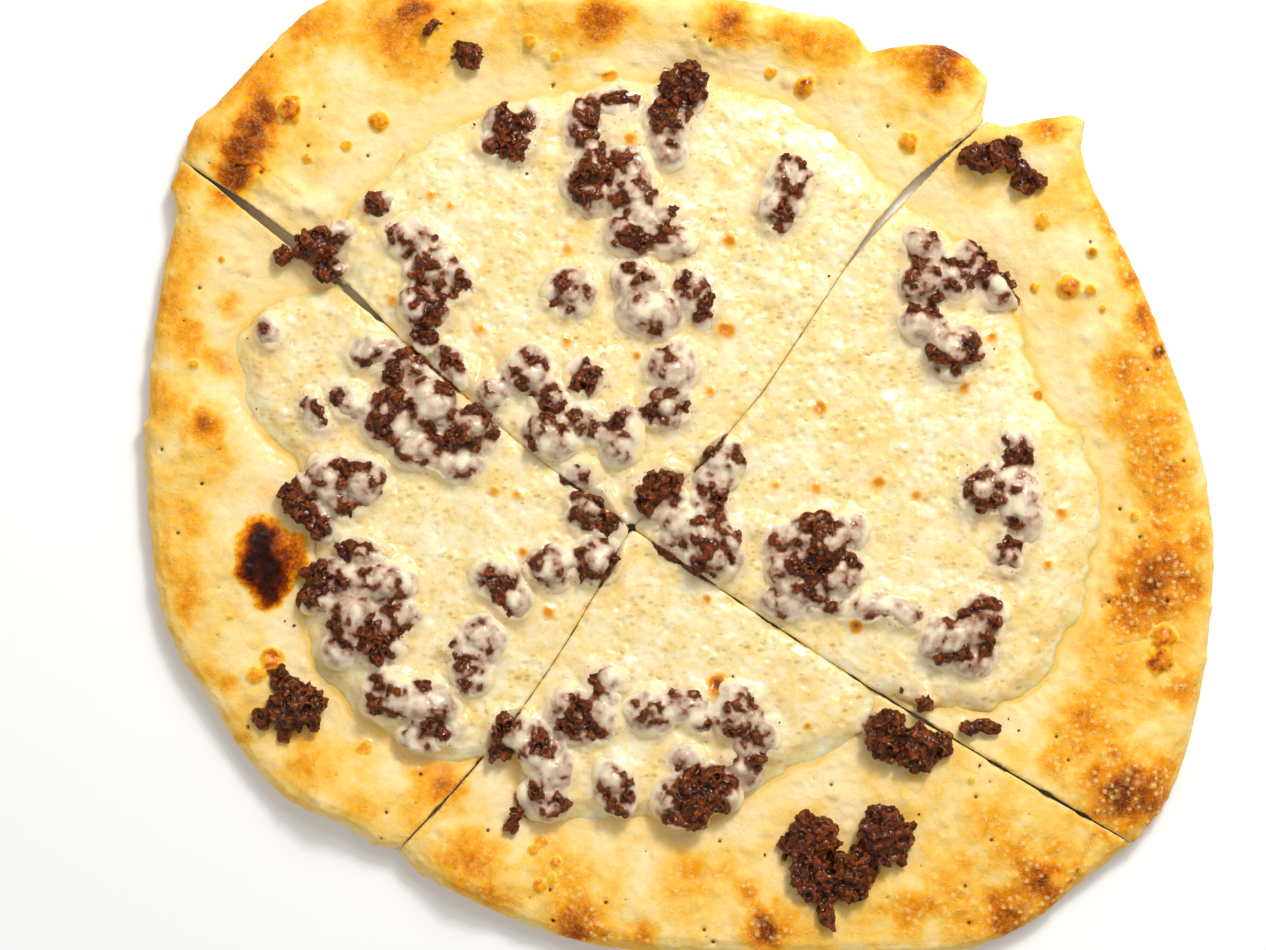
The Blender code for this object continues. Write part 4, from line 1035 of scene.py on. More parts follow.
class Finish(Desk):
    """A material in the making, with its own nodes.

    Attributes:
        material: The material.
        shader: Its shader.
        place: The place on the piece, in metres.
        colour: What the surface shows so far.
    """

    def __init__(self, name: str, gloss: Gloss, effects: Effects) -> None:
        """Starts a material that has its gloss.

        Args:
            name: The material's name.
            gloss: The values for the whole surface.
            effects: The shared effects.
        """
        self.material = bpy.data.materials.new(name)
        self.material.use_nodes = True
        super().__init__(self.material.node_tree)
        self.effects = effects
        self.shader = self.tree.nodes["Principled BSDF"]
        self.set("Specular IOR Level", gloss.specular)
        self.set("Coat Weight", gloss.coat)
        self.set("Coat Roughness", gloss.coat_roughness)
        self.set("Subsurface Weight", gloss.depth)
        self.set("Subsurface Scale", gloss.depth_scale)
        self.set("Subsurface Radius", gloss.depth_colour)
        self.place = self.add("ShaderNodeTexCoord").outputs["Object"]

    def set(self, name: str, value: object) -> None:
        """Wires one of the shader's inputs, or sets it."""
        self.feed(self.shader.inputs[name], value)

    def tint(self, share: object, colour: object, blend: str = "MIX") -> None:
        """Lays a colour over what the surface shows so far."""
        self.colour = self.mix(share, self.colour, colour, blend)

    def patches(self, scale: float, softness: float = 0.2, middle: float = 0.5) -> Socket:
        """Cloudy patches.

        Args:
            scale: How many come to a metre.
            softness: How soft their edges are.
            middle: How cloudy it is at their edges.

        Returns:
            The socket that puts out a share from 0 to 1.
        """
        clouds = self.group(
            self.effects.mottle, Place=self.place, Scale=scale, Middle=middle, Softness=softness
        )
        return clouds.outputs[0]

    def specks(self, place: Socket, scale: float, size: float, share: float) -> tuple[Socket, Socket]:
        """Small soft dots.

        Args:
            place: Where they are read.
            scale: How many come to a metre.
            size: Their radius, as a share of the room that each has.
            share: How many of the rooms have one.

        Returns:
            The sockets that put out the dots and the rings round them.
        """
        dots = self.group(self.effects.specks, Place=place, Scale=scale, Size=size, Share=share)
        return dots.outputs["Dot"], dots.outputs["Ring"]


MELTED_EDGE = tone(254, 228, 158, 0.95)  # where the cheese runs out over the bread
WET_EDGE = tone(246, 194, 76, 0.94)  # where fat stands in a crease

# Dough, from just set to almost burnt.
BAKED_SCALE: Scale = (
    (0.00, tone(253, 236, 198, 0.93)),
    (0.14, tone(252, 223, 156, 0.93)),
    (0.30, tone(250, 203, 98, 0.93)),
    (0.46, tone(248, 176, 42, 0.93)),
    (0.62, tone(234, 142, 8, 0.92)),
    (0.76, tone(196, 100, 1, 0.91)),
    (0.88, tone(146, 64, 1, 0.89)),
    (1.00, tone(92, 36, 3, 0.86)),
)

# Blisters fried in fat.
FRIED_SCALE: Scale = (
    (0.06, tone(254, 224, 124, 0.93)),
    (0.32, tone(250, 192, 52, 0.93)),
    (0.60, tone(240, 154, 18, 0.92)),
    (0.82, tone(206, 104, 6, 0.90)),
    (1.00, tone(130, 52, 4, 0.86)),
)

# Crust that has charred.
CHARRED_SCALE: Scale = (
    (0.05, tone(252, 206, 92, 0.93)),
    (0.22, tone(242, 158, 18, 0.93)),
    (0.42, tone(206, 106, 2, 0.92)),
    (0.60, tone(140, 56, 1, 0.90)),
    (0.80, tone(80, 26, 1, 0.88)),
    (1.00, tone(38, 12, 3, 0.85)),
)

# Cheese, from thin and yellow to thick and white.
CHEESE_SCALE: Scale = (
    (0.0, tone(250, 212, 124, 0.91)),
    (0.4, tone(252, 226, 156, 0.91)),
    (0.7, tone(254, 235, 180, 0.92)),
    (1.0, tone(255, 242, 208, 0.93)),
)

# Fried meat, from dark brown to reddish.
MEAT_SCALE: Scale = (
    (0.0, tone(42, 16, 3)),
    (0.4, tone(82, 35, 9)),
    (0.7, tone(114, 50, 14)),
    (1.0, tone(158, 80, 28)),
)

# Cheese over meat, from a greasy trace to a closed film.
VEIL_SCALE: Scale = (
    (0.10, tone(116, 64, 40, 0.9)),
    (0.28, tone(164, 118, 90, 0.92)),
    (0.46, tone(198, 168, 142, 0.94)),
    (0.62, tone(222, 202, 176, 0.95)),
    (0.80, tone(242, 226, 194, 0.95)),
    (1.00, tone(252, 232, 176, 0.95)),
)


class CrustFinish(Finish):
    """Baked dough: pale and oily by the cheese, golden to dark brown on the rim."""

    GLOSS = Gloss(0.07, 0.0, 0.10, 0.0, 2.2 * MM, (1.0, 0.6, 0.3))

    def __init__(self, effects: Effects) -> None:
        """Makes the material, which reads the masks that BreadSlice paints.

        Args:
            effects: The shared effects.
        """
        super().__init__("baked_crust", self.GLOSS, effects)
        self.fine = self.patches(420.0, 0.22)
        self.broad = self.patches(150.0, 0.25)
        self.grain = self.noise(self.place, 1500.0, 3.0, 0.6)
        self.blisters, self.blister_rings = self.specks(self.place, 560.0, 0.36, 0.5)
        self.lines = self.group(effects.fibres, Place=self.place, Scale=520.0).outputs["Line"]
        self.heat = self.mask("baked")
        self.amber = self.mask("amber")
        self.burnt = self.mask("char")
        self.oil = self.mask("oil")
        self.bake()
        self.dot()
        self.soil()
        self.burn()
        self.wet()
        self.roughen()

    def bake(self) -> None:
        """Gives the dough its colour, by how far it has baked."""
        spread = self.step(self.fine, 0.0, 1.0, (-0.03, 0.03))
        spread = self.plus(spread, self.step(self.broad, 0.0, 1.0, (-0.06, 0.06)))
        spread = self.plus(spread, self.step(self.grain, 0.3, 0.7, (-0.02, 0.02)))
        loud = self.step(self.heat, 0.02, 0.35, (0.35, 1.0))
        self.colour = self.scale_of(self.plus(self.heat, self.times(spread, loud)), BAKED_SCALE)

    def dot(self) -> None:
        """Lays pale dots and threads where the crust has browned."""
        wide, wide_rings = self.specks(self.place, 300.0, 0.26, 0.45)
        many = self.step(self.broad, 0.15, 0.7, (0.25, 0.8))
        many = self.times(self.times(self.step(self.heat, 0.24, 0.5), many), self.mask("dotty"))
        dots = self.math("MAXIMUM", self.blisters, wide)
        self.tint(self.times(dots, many), tone(250, 204, 108, 0.92))
        speckle = self.times(self.mask("speckle"), self.step(self.grain, 0.3, 0.6, (0.4, 0.8)))
        self.tint(speckle, tone(254, 220, 138, 0.93))
        rings = self.times(self.plus(self.blister_rings, wide_rings), 0.3)
        self.tint(self.times(rings, many), tone(252, 208, 120, 0.92))
        thread = self.times(self.lines, self.step(self.heat, 0.1, 0.5, (0.08, 0.32)))
        thread = self.times(thread, self.step(self.heat, 0.6, 0.9, (1.0, 0.5)))
        self.tint(thread, tone(253, 214, 138, 0.92))

    def soil(self) -> None:
        """Lays the flour at the foot, the crumb at the cuts and what the cheese left behind."""
        self.tint(self.times(self.mask("flour"), 0.6), tone(244, 208, 162, 0.88))
        self.tint(self.times(self.mask("crumb"), 0.8), tone(250, 222, 140, 0.88))
        melted = self.times(self.mask("melt"), self.step(self.broad, 0.1, 0.8, (0.55, 1.0)))
        self.tint(self.times(melted, 0.85), MELTED_EDGE)

    def burn(self) -> None:
        """Fries the blisters, chars the dome and paints shade into the pricked holes and the cracks."""
        uneven = self.step(self.fine, 0.3, 1.0, (-0.1, 0.22))
        ruddy = self.scale_of(self.plus(self.times(self.amber, 0.76), uneven), FRIED_SCALE)
        self.tint(self.step(self.amber, 0.04, 0.3), ruddy)
        patchy = self.plus(self.burnt, self.step(self.broad, 0.0, 1.0, (-0.08, 0.08)))
        patchy = self.plus(patchy, self.step(self.fine, 0.0, 1.0, (-0.13, 0.09)))
        patchy = self.plus(patchy, self.step(self.grain, 0.3, 0.7, (-0.05, 0.05)))
        self.tint(self.step(self.burnt, 0.03, 0.18), self.scale_of(patchy, CHARRED_SCALE))
        # Painted shade: dark brown in the pricked holes and along the cracks, standing in for their
        # depth.
        self.tint(self.step(self.mask("hole_shade"), 0.3, 0.85, (0.0, 0.92)), tone(58, 36, 14, 0.7))

    def wet(self) -> None:
        """Soaks fat into the crust, fills the crease with it and gives it its shine."""
        self.tint(self.times(self.oil, 0.4), tone(253, 220, 138, 0.97), "MULTIPLY")
        self.tint(self.step(self.oil, 0.62, 1.0, (0.0, 0.5)), WET_EDGE)
        self.tint(self.times(self.mask("crease"), 0.8), WET_EDGE)
        self.set("Base Color", self.colour)
        wet = self.plus(self.times(self.oil, 0.9), self.times(self.amber, 0.7))
        wet = self.plus(wet, self.times(self.burnt, 0.4))
        self.set("Coat Weight", self.step(wet, 0.1, 1.1, (0.0, 0.6)))
        dry = self.step(self.grain, 0.3, 0.7, (0.50, 0.68))
        self.set("Roughness", self.math("MAXIMUM", 0.2, self.less(dry, self.times(wet, 0.36))))

    def roughen(self) -> None:
        """Adds the relief that is too fine for the mesh."""
        height = self.plus(self.times(self.grain, 0.35), self.times(self.fine, 0.25))
        proud = self.step(self.heat, 0.2, 0.5, (0.1, 1.0))
        height = self.plus(height, self.times(self.blisters, proud))
        height = self.plus(height, self.times(self.lines, 0.25))
        self.set("Normal", self.bump(height, 0.24 * MM, 0.8))


class CheeseFinish(Finish):
    """Melted cheese: cream, glossy, specked, toasted in spots."""

    GLOSS = Gloss(0.36, 0.35, 0.05, 0.5, 2.4 * MM, (1.0, 0.72, 0.36))

    def __init__(self, effects: Effects) -> None:
        """Makes the material, which reads the masks that CheeseSlice paints.

        Args:
            effects: The shared effects.
        """
        super().__init__("melted_cheese", self.GLOSS, effects)
        self.clouds = self.patches(95.0)
        self.coarse = self.patches(300.0)
        stretched = self.add("ShaderNodeMapping")
        stretched.inputs["Scale"].default_value = (1.0, 1.7, 1.0)
        stretched.inputs["Rotation"].default_value = (0.0, 0.0, 0.5)
        self.feed(stretched.inputs["Vector"], self.place)
        self.freckles, _ = self.specks(stretched.outputs[0], 330.0, 0.48, 0.75)
        self.minute, _ = self.specks(self.place, 860.0, 0.48, 0.5)
        self.pits, self.pit_rings = self.specks(self.place, 240.0, 0.3, 0.4)
        body = self.plus(self.times(self.clouds, 0.55), self.times(self.coarse, 0.45))
        self.colour = self.scale_of(body, CHEESE_SCALE)
        self.speck()
        self.grease()
        self.juice_and_shade()
        self.toast()
        self.roughen()

    def speck(self) -> None:
        """Lays the freckles, the finest dots and the small pits."""
        many = self.step(self.clouds, 0.95, 0.15, (0.08, 0.8))
        self.tint(self.times(self.freckles, many), tone(208, 172, 90, 0.9))
        clustered = self.step(self.coarse, 0.75, 0.25, (0.1, 0.75))
        self.tint(self.times(self.minute, clustered), tone(232, 194, 116, 0.93))
        self.tint(self.times(self.pit_rings, 0.3), tone(236, 194, 92, 0.88))
        self.tint(self.times(self.pits, 0.3), tone(226, 190, 104, 0.85))

    def grease(self) -> None:
        """Lays the thin edge, the white swirls and the pools of yellow fat."""
        self.tint(self.times(self.mask("melt"), 0.9), MELTED_EDGE)
        swirls = self.patches(170.0, 0.09, 0.54)
        self.tint(self.times(swirls, 0.42), tone(255, 246, 224, 0.965))
        fat = self.times(self.mask("oil"), self.step(self.coarse, 0.0, 1.0, (0.3, 0.9)))
        fat = self.times(fat, self.step(swirls, 0.0, 1.0, (1.0, 0.45)))
        self.tint(fat, tone(249, 202, 96, 0.93))

    def juice_and_shade(self) -> None:
        """Lays the juice round the lumps of meat, with tiny bits of meat in it; its greyer tint is
        partly painted contact shade.
        """
        juice_and_shade = self.mask("juice_and_shade")
        # Partly meat juice and run-off cheese, partly painted contact shade round the foot of each lump.
        self.tint(self.times(juice_and_shade, 0.8), tone(236, 212, 176, 0.93))
        bits = self.times(self.minute, self.step(juice_and_shade, 0.25, 0.8, (0.0, 0.5)))
        self.tint(bits, tone(150, 96, 60, 0.85))

    def toast(self) -> None:
        """Lays the amber, the fat in the crease and the toasted spots, gold to brown."""
        self.tint(self.times(self.mask("amber"), 0.8), tone(250, 186, 36, 0.92))
        self.tint(self.times(self.mask("crease"), 0.85), WET_EDGE)
        toast = self.mask("toast")
        self.tint(self.step(toast, 0.08, 0.5), tone(242, 170, 22, 0.92))
        self.tint(self.step(toast, 0.38, 0.62, (0.0, 0.7)), tone(214, 118, 12, 0.9))
        self.tint(self.step(toast, 0.7, 1.0), tone(150, 70, 8, 0.85))
        self.set("Base Color", self.colour)

    def roughen(self) -> None:
        """Sets how matt it is and adds the relief that is too fine for the mesh."""
        uneven = self.noise(self.place, 700.0, 3.0, 0.6)
        self.set("Roughness", self.step(uneven, 0.3, 0.7, (0.10, 0.28)))
        height = self.plus(self.times(uneven, 0.35), self.times(self.coarse, 0.4))
        height = self.less(height, self.times(self.pits, 0.9))
        height = self.less(height, self.times(self.freckles, 0.35))
        self.set("Normal", self.bump(height, 0.2 * MM, 0.7))


class MeatFinish(Finish):
    """Fried minced meat: dark brown crumbs, some reddish, under veils of melted cheese."""

    GLOSS = Gloss(0.04, 0.42, 0.07, 0.0, 1.2 * MM, (1.0, 0.45, 0.3))

    def __init__(self, effects: Effects) -> None:
        """Makes the material, which reads the masks that MeatOnSlice paints.

        Args:
            effects: The shared effects.
        """
        super().__init__("minced_meat", self.GLOSS, effects)
        self.fine = self.patches(650.0)
        self.film = self.mask("film")
        self.fry_and_shade()
        self.veil()
        self.roughen()

    def fry_and_shade(self) -> None:
        """Gives each crumb its brown, with painted shade in the gaps and painted light on top."""
        parts = self.add("ShaderNodeSeparateColor")
        self.feed(parts.inputs[0], self.cells(self.place, 520.0).outputs["Color"])
        redness = self.plus(self.times(parts.outputs[0], 0.55), self.times(self.fine, 0.45))
        self.colour = self.scale_of(redness, MEAT_SCALE)
        proud = self.mask("proud")
        # Painted shade: near black where the skin sinks between crumbs. Painted light: a lighter brown
        # on what stands out.
        self.tint(self.step(proud, 0.55, 0.05, (0.0, 0.95)), tone(18, 6, 2))
        self.tint(self.step(proud, 0.62, 1.0, (0.0, 0.4)), tone(158, 86, 42))

    def veil(self) -> None:
        """Lays the film of cheese over the crumbs, with bits of meat in it."""
        streaks = self.step(self.fine, 0.0, 1.0, (-0.05, 0.05))
        cloudy = self.step(self.patches(230.0), 0.0, 1.0, (-0.08, 0.08))
        streaks = self.times(self.plus(streaks, cloudy), self.step(self.film, 0.05, 0.3))
        milky = self.plus(self.film, streaks)
        self.tint(self.step(milky, 0.06, 0.4), self.scale_of(milky, VEIL_SCALE))
        buried, _ = self.specks(self.place, 430.0, 0.3, 0.4)
        showing = self.times(buried, self.step(milky, 0.98, 0.5, (0.0, 0.5)))
        self.tint(self.times(showing, self.step(self.film, 0.1, 0.3)), tone(120, 62, 48))
        self.set("Base Color", self.colour)

    def roughen(self) -> None:
        """Sets how matt it is and adds the relief that is too fine for the mesh."""
        rough = self.noise(self.place, 1400.0, 3.0, 0.6)
        bare_roughness = self.step(rough, 0.3, 0.7, (0.30, 0.60))
        self.set("Roughness", self.less(bare_roughness, self.times(self.film, 0.26)))
        height = self.plus(self.times(rough, 0.6), self.times(self.fine, 0.4))
        calm = self.times(height, self.step(self.film, 0.0, 0.7, (1.0, 0.25)))
        self.set("Normal", self.bump(calm, 0.2 * MM, 0.8))


class FloorFinish(Finish):
    """A plain pale floor."""

    GLOSS = Gloss(0.2, 0.0, 0.3, 0.0, 1.0 * MM, (1.0, 1.0, 1.0))

    def __init__(self, effects: Effects) -> None:
        """Makes the material.

        Args:
            effects: The shared effects.
        """
        super().__init__("pale_floor", self.GLOSS, effects)
        haze = self.patches(3.0, 0.5)
        self.set("Base Color", self.mix(haze, tone(247, 247, 247), tone(250, 250, 249)))
        self.set("Roughness", 0.7)


def nodes_of(layer: Layer, side: Side) -> list[str]:
    """The frame's solids of one layer on one slice."""
    start = f"{layer.value}_{side.value}"
    return sorted(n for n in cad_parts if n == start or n.startswith(start + "_"))


class Surroundings:
    """Search trees over the frame's solids, which tell each piece what it meets."""

    def __init__(self) -> None:
        """Makes the trees, one for each layer and slice."""
        self.own = {
            (layer, side): tree_of(*(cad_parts[n] for n in nodes_of(layer, side)))
            for layer in Layer
            for side in Side
        }
        self.across = {side: self._other_slices(side) for side in Side}
        self.cheese_rim = {side: self._cheese_rim(side) for side in Side}
        self.all_meat = tree_of(
            *(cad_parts[n] for side in Side for n in nodes_of(Layer.MEAT, side))
        )

    def _cheese_rim(self, side: Side) -> BVHTree:
        """A tree over the upright faces round a slice's cheese, without those at the cuts.

        Args:
            side: The slice.

        Returns:
            The tree.
        """
        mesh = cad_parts[nodes_of(Layer.CHEESE, side)[0]].data
        points = [vertex.co.copy() for vertex in mesh.vertices]
        faces = [
            tuple(face.vertices)
            for face in mesh.polygons
            if abs(face.normal.z) < 0.6
            and self.across[side].find_nearest(face.center, 2.5 * MM)[3] is None
        ]
        return BVHTree.FromPolygons(points, faces)

    def _other_slices(self, side: Side) -> BVHTree:
        """A tree over the bread and the cheese of all slices but one."""
        names = [
            name
            for layer in (Layer.BREAD, Layer.CHEESE)
            for other in Side
            if other is not side
            for name in nodes_of(layer, other)
        ]
        return tree_of(*(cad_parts[name] for name in names))


def drawn_back(points: Array) -> Array:
    """How far in from its solid's outline the cheese ends at each point, in metres."""
    share = 0.35 + 0.9 * NOISE.waves(flattened(points), 10.0, 3)
    return 2.2 * MM * np.clip(share, 0.0, 1.0)


def creased(points: Array, off_edge: Array) -> Array:
    """How much fat stands in the crease along the edge of the cheese.

    Args:
        points: One place a row, in metres.
        off_edge: How far each is from the edge of the cheese, on either side.

    Returns:
        A share from 0 to 1 for each point.
    """
    flat = flattened(points)
    wander = 0.9 * MM * NOISE.waves(flat, 4.0, 2)
    eastern = ramp(points[:, 0], 50.0 * MM, 95.0 * MM)
    patchy = 0.45 + 1.1 * NOISE.waves(flat, 12.0, 2) + 0.7 * eastern
    return ramp(abs(off_edge + wander), 1.5 * MM, 0.3 * MM) * np.clip(patchy, 0.0, 1.0)


@dataclass
class BreadSlice:
    """One slice of the bread, with its puffed and browned rim.

    Attributes:
        side: Which slice it is.
        around: What it meets.
        cell: The size of its skin's faces.
        hidden_share: How many faces stay where nothing shows.
        swell: The height of its broad swells.
        wrinkle: The height of the wrinkles in its skin.
        crag: The height of the roughness low on its rim.
        bubble: The height of its bubbles.
        pimple: The height of the tiny blisters where it browned.
        blister: The height of the blisters fried to amber.
        char: The height of the charred dome.
        tear: The height of the crumbly fringe.
        crack: The depth of its cracks.
        pore: The depth of the pores in its cut walls.
        prick: The depth of its pricked holes.
        steepest: The most that relief may rise for each millimetre away from a cut.
        brim: The most that relief may rise well outside the cheese.
    """

    side: Side
    around: Surroundings
    cell: float = 0.55 * MM
    hidden_share: float = 0.10
    swell: float = 0.34 * MM
    wrinkle: float = 0.16 * MM
    crag: float = 0.13 * MM
    bubble: float = 0.5 * MM
    pimple: float = 0.32 * MM
    blister: float = 0.95 * MM
    char: float = 0.6 * MM
    tear: float = 1.1 * MM
    crack: float = 0.8 * MM
    pore: float = 0.35 * MM
    prick: float = 0.9 * MM
    steepest: float = 0.4
    brim: float = 2.6 * MM

    def build(self) -> Piece:
        """Makes the piece."""
        piece = copied(f"{self.side.value}_bread", nodes_of(Layer.BREAD, self.side))
        remeshed(piece, self.cell)
        self.thin_out_hidden(piece)
        self.skin = Skin(piece)
        self.survey()
        self.bake()
        height = self.cut_relief(self.top_relief())
        limit = self.brim * ramp(self.off_edge, 1.0 * MM, 6.0 * MM)
        self.skin.lift(np.minimum(height, limit) * ramp(self.points[:, 2], 0.3 * MM, 2.2 * MM))
        self.skin.keep_in_box()
        self.paint()
        return piece

    def thin_out_hidden(self, piece: Piece) -> None:
        """Leaves only larger faces underneath and well under the cheese.

        Args:
            piece: The piece.
        """
        centres = vectors_of(piece.data.polygons, "center")
        cheese = self.around.own[Layer.CHEESE, self.side]
        roofed = distance_to(cheese, centres, 1.2 * MM) < 1.0 * MM
        rows = np.flatnonzero(roofed)
        raised_centres = lifted(centres[rows], 0.6 * MM)
        inner = np.ones(len(rows), bool)
        for turn in range(8):
            angle = turn * math.tau / 8
            aside = np.array((math.cos(angle), math.sin(angle), 0.0)) * 6.0 * MM
            start = lifted(raised_centres + aside, -3.0 * MM)
            inner &= depth_to(cheese, start, True, 9.0 * MM) < 9.0 * MM
        deep = np.zeros(len(centres), bool)
        deep[rows] = inner
        thin_out(piece, (centres[:, 2] < 0.25 * MM) | deep, self.hidden_share)

    def survey(self) -> None:
        """Measures where each point lies, before any of them moves."""
        self.points, self.up = self.skin.places.copy(), self.skin.normals[:, 2].copy()
        points, cheese = self.points, self.around.own[Layer.CHEESE, self.side]
        self.to_cut = distance_to(self.around.across[self.side], points, 7.0 * MM)
        self.to_cheese = distance_to(cheese, points, 13.0 * MM)
        roofed = depth_to(cheese, lifted(points, -0.5 * MM), True, 8.0 * MM) < 8.0 * MM
        inward = distance_to(self.around.cheese_rim[self.side], points, 6.0 * MM)
        self.off_edge = np.where(roofed, -inward, self.to_cheese)
        self.off_edge += drawn_back(points) + 1.0 * MM
        self.roofed = roofed & (self.off_edge < -0.3 * MM)
        self.wall = (1.0 - ramp(abs(self.up), 0.25, 0.6)) * (self.to_cut < 6.5 * MM)
        self.bared = np.where(self.roofed, 0.0, 1.0)
        self.open_top = ramp(self.up, -0.2, 0.5) * self.bared

    def bake(self) -> None:
        """Works out how far the crust has browned, blistered and charred."""
        points = self.points
        outer = ramp(self.to_cheese, 1.0 * MM, 12.0 * MM)
        high = ramp(points[:, 2], 6.0 * MM, 10.5 * MM)
        heat = 0.08 + 0.13 * outer + (0.04 + 0.08 * outer) * NOISE.waves(points, 17.0, 2)
        heat += 0.06 * NOISE.waves(points, 6.0, 3) * outer + 0.03 * high
        heat = np.clip(heat, 0.0, 0.5)
        self.golden = marked(points, GOLDEN, ragged=0.5, core=0.0, reach=2.3)
        self.tanned = marked(points, TANNED, ragged=0.35, core=0.0, reach=1.5)
        brown = marked(points, BROWNED, ragged=0.5, core=0.0, reach=2.1)
        pale = marked(points, PALE, ragged=0.5, core=0.0, reach=1.5)
        uneven = 0.9 + 0.3 * NOISE.waves(points, 9.0, 3)
        heat += (1.0 - heat) * 0.55 * self.tanned * uneven
        uneven = 0.8 + 0.25 * NOISE.waves(points, 4.0, 3)
        heat += (1.0 - heat) * 0.55 * self.golden * uneven
        heat *= 1.0 - 0.75 * pale
        uneven = 0.97 + 0.14 * NOISE.waves(points, 5.0, 3)
        heat += (1.0 - heat) * np.clip(0.93 * brown**1.1 * uneven, 0.0, 0.98)
        self.heat = heat
        self.amber = marked(points, AMBER, ragged=0.28, core=0.5, reach=1.3, length=3.6)
        self.charred = marked(points, CHARRED, ragged=0.14, core=0.1, reach=1.22)
        large = dotted(points, PRICKS[::2], 0.95 * MM)
        self.holes = np.maximum(large, 0.8 * dotted(points, PRICKS[1::2], 0.7 * MM))
        away, _, share = NOISE.cells(points, 1.9, flat=True)
        self.blistered = ramp(points[:, 0] - 0.6 * points[:, 1], -20.0 * MM, 60.0 * MM)
        speckled = ramp(away, 0.75 * MM, 0.2 * MM) * (share > 0.68) * ramp(heat, 0.28, 0.5)
        self.speckled = speckled * self.blistered

    def top_relief(self) -> Array:
        """The relief of the crust, before the cuts and the cheese limit it.

        Returns:
            A height for each point, in metres.
        """
        points, open_top = self.points, self.open_top
        height = self.swell * NOISE.waves(points, 12.0, 2)
        folds = abs(NOISE.waves(points * np.array((1.0, 1.0, 1.6)), 4.6, 2))
        height = height + self.wrinkle * (1.0 - 2.0 * folds)
        away, _, share = NOISE.cells(points, 8.0, flat=True)
        height = height + self.bubble * ramp(away, 2.9 * MM, 0.0) * (share > 0.55)
        blisters = self.blister * ramp(self.amber, 0.05, 0.8)
        height = height + blisters * (1.0 + 0.35 * NOISE.waves(points, 2.2, 2))
        dome = self.char * ramp(self.charred, 0.05, 0.6)
        dome += 0.14 * MM * NOISE.waves(points, 3.4, 2) * ramp(self.charred, 0.3, 0.8)
        height = (height + dome + raised(points, PUFFED)) * open_top

        low = 1.0 - ramp(points[:, 2], 3.0 * MM, 7.5 * MM)
        rough = self.crag * NOISE.waves(points, 1.9, 2) * (0.35 + 0.9 * low)
        fringe = marked(points, FRINGE) * low * ramp(self.to_cheese, 4.0 * MM, 9.0 * MM)
        rough += self.tear * fringe * NOISE.waves(points, 2.2, 3)
        height += (rough + self.pimple * self.speckled) * self.bared
        height -= self.prick * self.holes * open_top
        for path in CRACKS:
            height -= self.crack * ramp(groove(points, path, 0.8 * MM), 0.1, 0.9) * open_top
        return height

    def cut_relief(self, height: Array) -> Array:
        """Gives the cut walls their pores, and lets slices touch where they have run together.

        Args:
            height: The relief so far.

        Returns:
            The relief, which keeps clear of the other slices.
        """
        points, to_cut = self.points, self.to_cut
        away, _, share = NOISE.cells(points, 1.5)
        pores = -self.pore * ramp(away, 0.8 * MM, 0.1 * MM) * (share > 0.4)
        height = np.where(self.wall > 0.5, pores - 0.05 * MM, height)
        height = np.minimum(height, self.steepest * np.maximum(to_cut - 0.1 * MM, 0.0))
        swollen = ramp(to_cut, 2.2 * MM, 1.4 * MM) * ramp(NOISE.waves(points, 8.0, 2), -0.7, 0.1)
        return height + self.wall * swollen * np.maximum(0.5 * to_cut - 0.12 * MM, 0.0)

    def paint(self) -> None:
        """Paints the masks that the crust's finish reads."""
        skin, points, off_edge = self.skin, self.points, self.off_edge
        proud = np.clip(skin.standing_out(10) / (0.30 * MM), -0.4, 1.0)
        heat = self.heat - proud * 0.12 * ramp(self.heat, 0.25, 0.6)
        under = ramp(points[:, 2], 0.05 * MM, 0.5 * MM) < 0.5
        heat = np.where(under, 0.42 + 0.4 * NOISE.waves(points, 11.0, 3), heat)
        oil = marked(points, OILED, ragged=0.4, core=0.0, reach=1.5)
        oil = np.maximum(oil, 0.75 * (1.0 - ramp(off_edge, 0.5 * MM, 9.0 * MM)))
        melt = 1.0 - ramp(off_edge + 2.5 * MM * NOISE.waves(points, 9.0, 3), 0.0, 7.0 * MM)
        melt *= 1.0 - 0.8 * np.clip(self.tanned + self.golden, 0.0, 1.0)
        flour = (1.0 - ramp(points[:, 2], 2.2 * MM, 6.0 * MM)) * (1.0 - ramp(self.up, 0.1, 0.6))
        # The pricked holes and the cracks, which the crust's finish fills with painted shade.
        holes = self.holes
        for path in CRACKS:
            holes = np.maximum(holes, 0.55 * ramp(groove(points, path, 0.6 * MM), 0.2, 0.9))
        skin.paint("baked", heat)
        skin.paint("dotty", 0.3 + 0.7 * self.blistered)
        for name, mask in (
            ("speckle", self.speckled),
            ("amber", self.amber),
            ("char", self.charred),
            ("hole_shade", holes),
            ("oil", oil),
        ):
            skin.paint(name, mask * self.open_top)
        skin.paint("crease", creased(points, off_edge))
        skin.paint("melt", np.maximum(melt, np.where(self.roofed, 1.0, 0.0)) * (1.0 - self.wall))
        skin.paint("flour", flour * (1.0 - self.wall))
        skin.paint("crumb", self.wall)


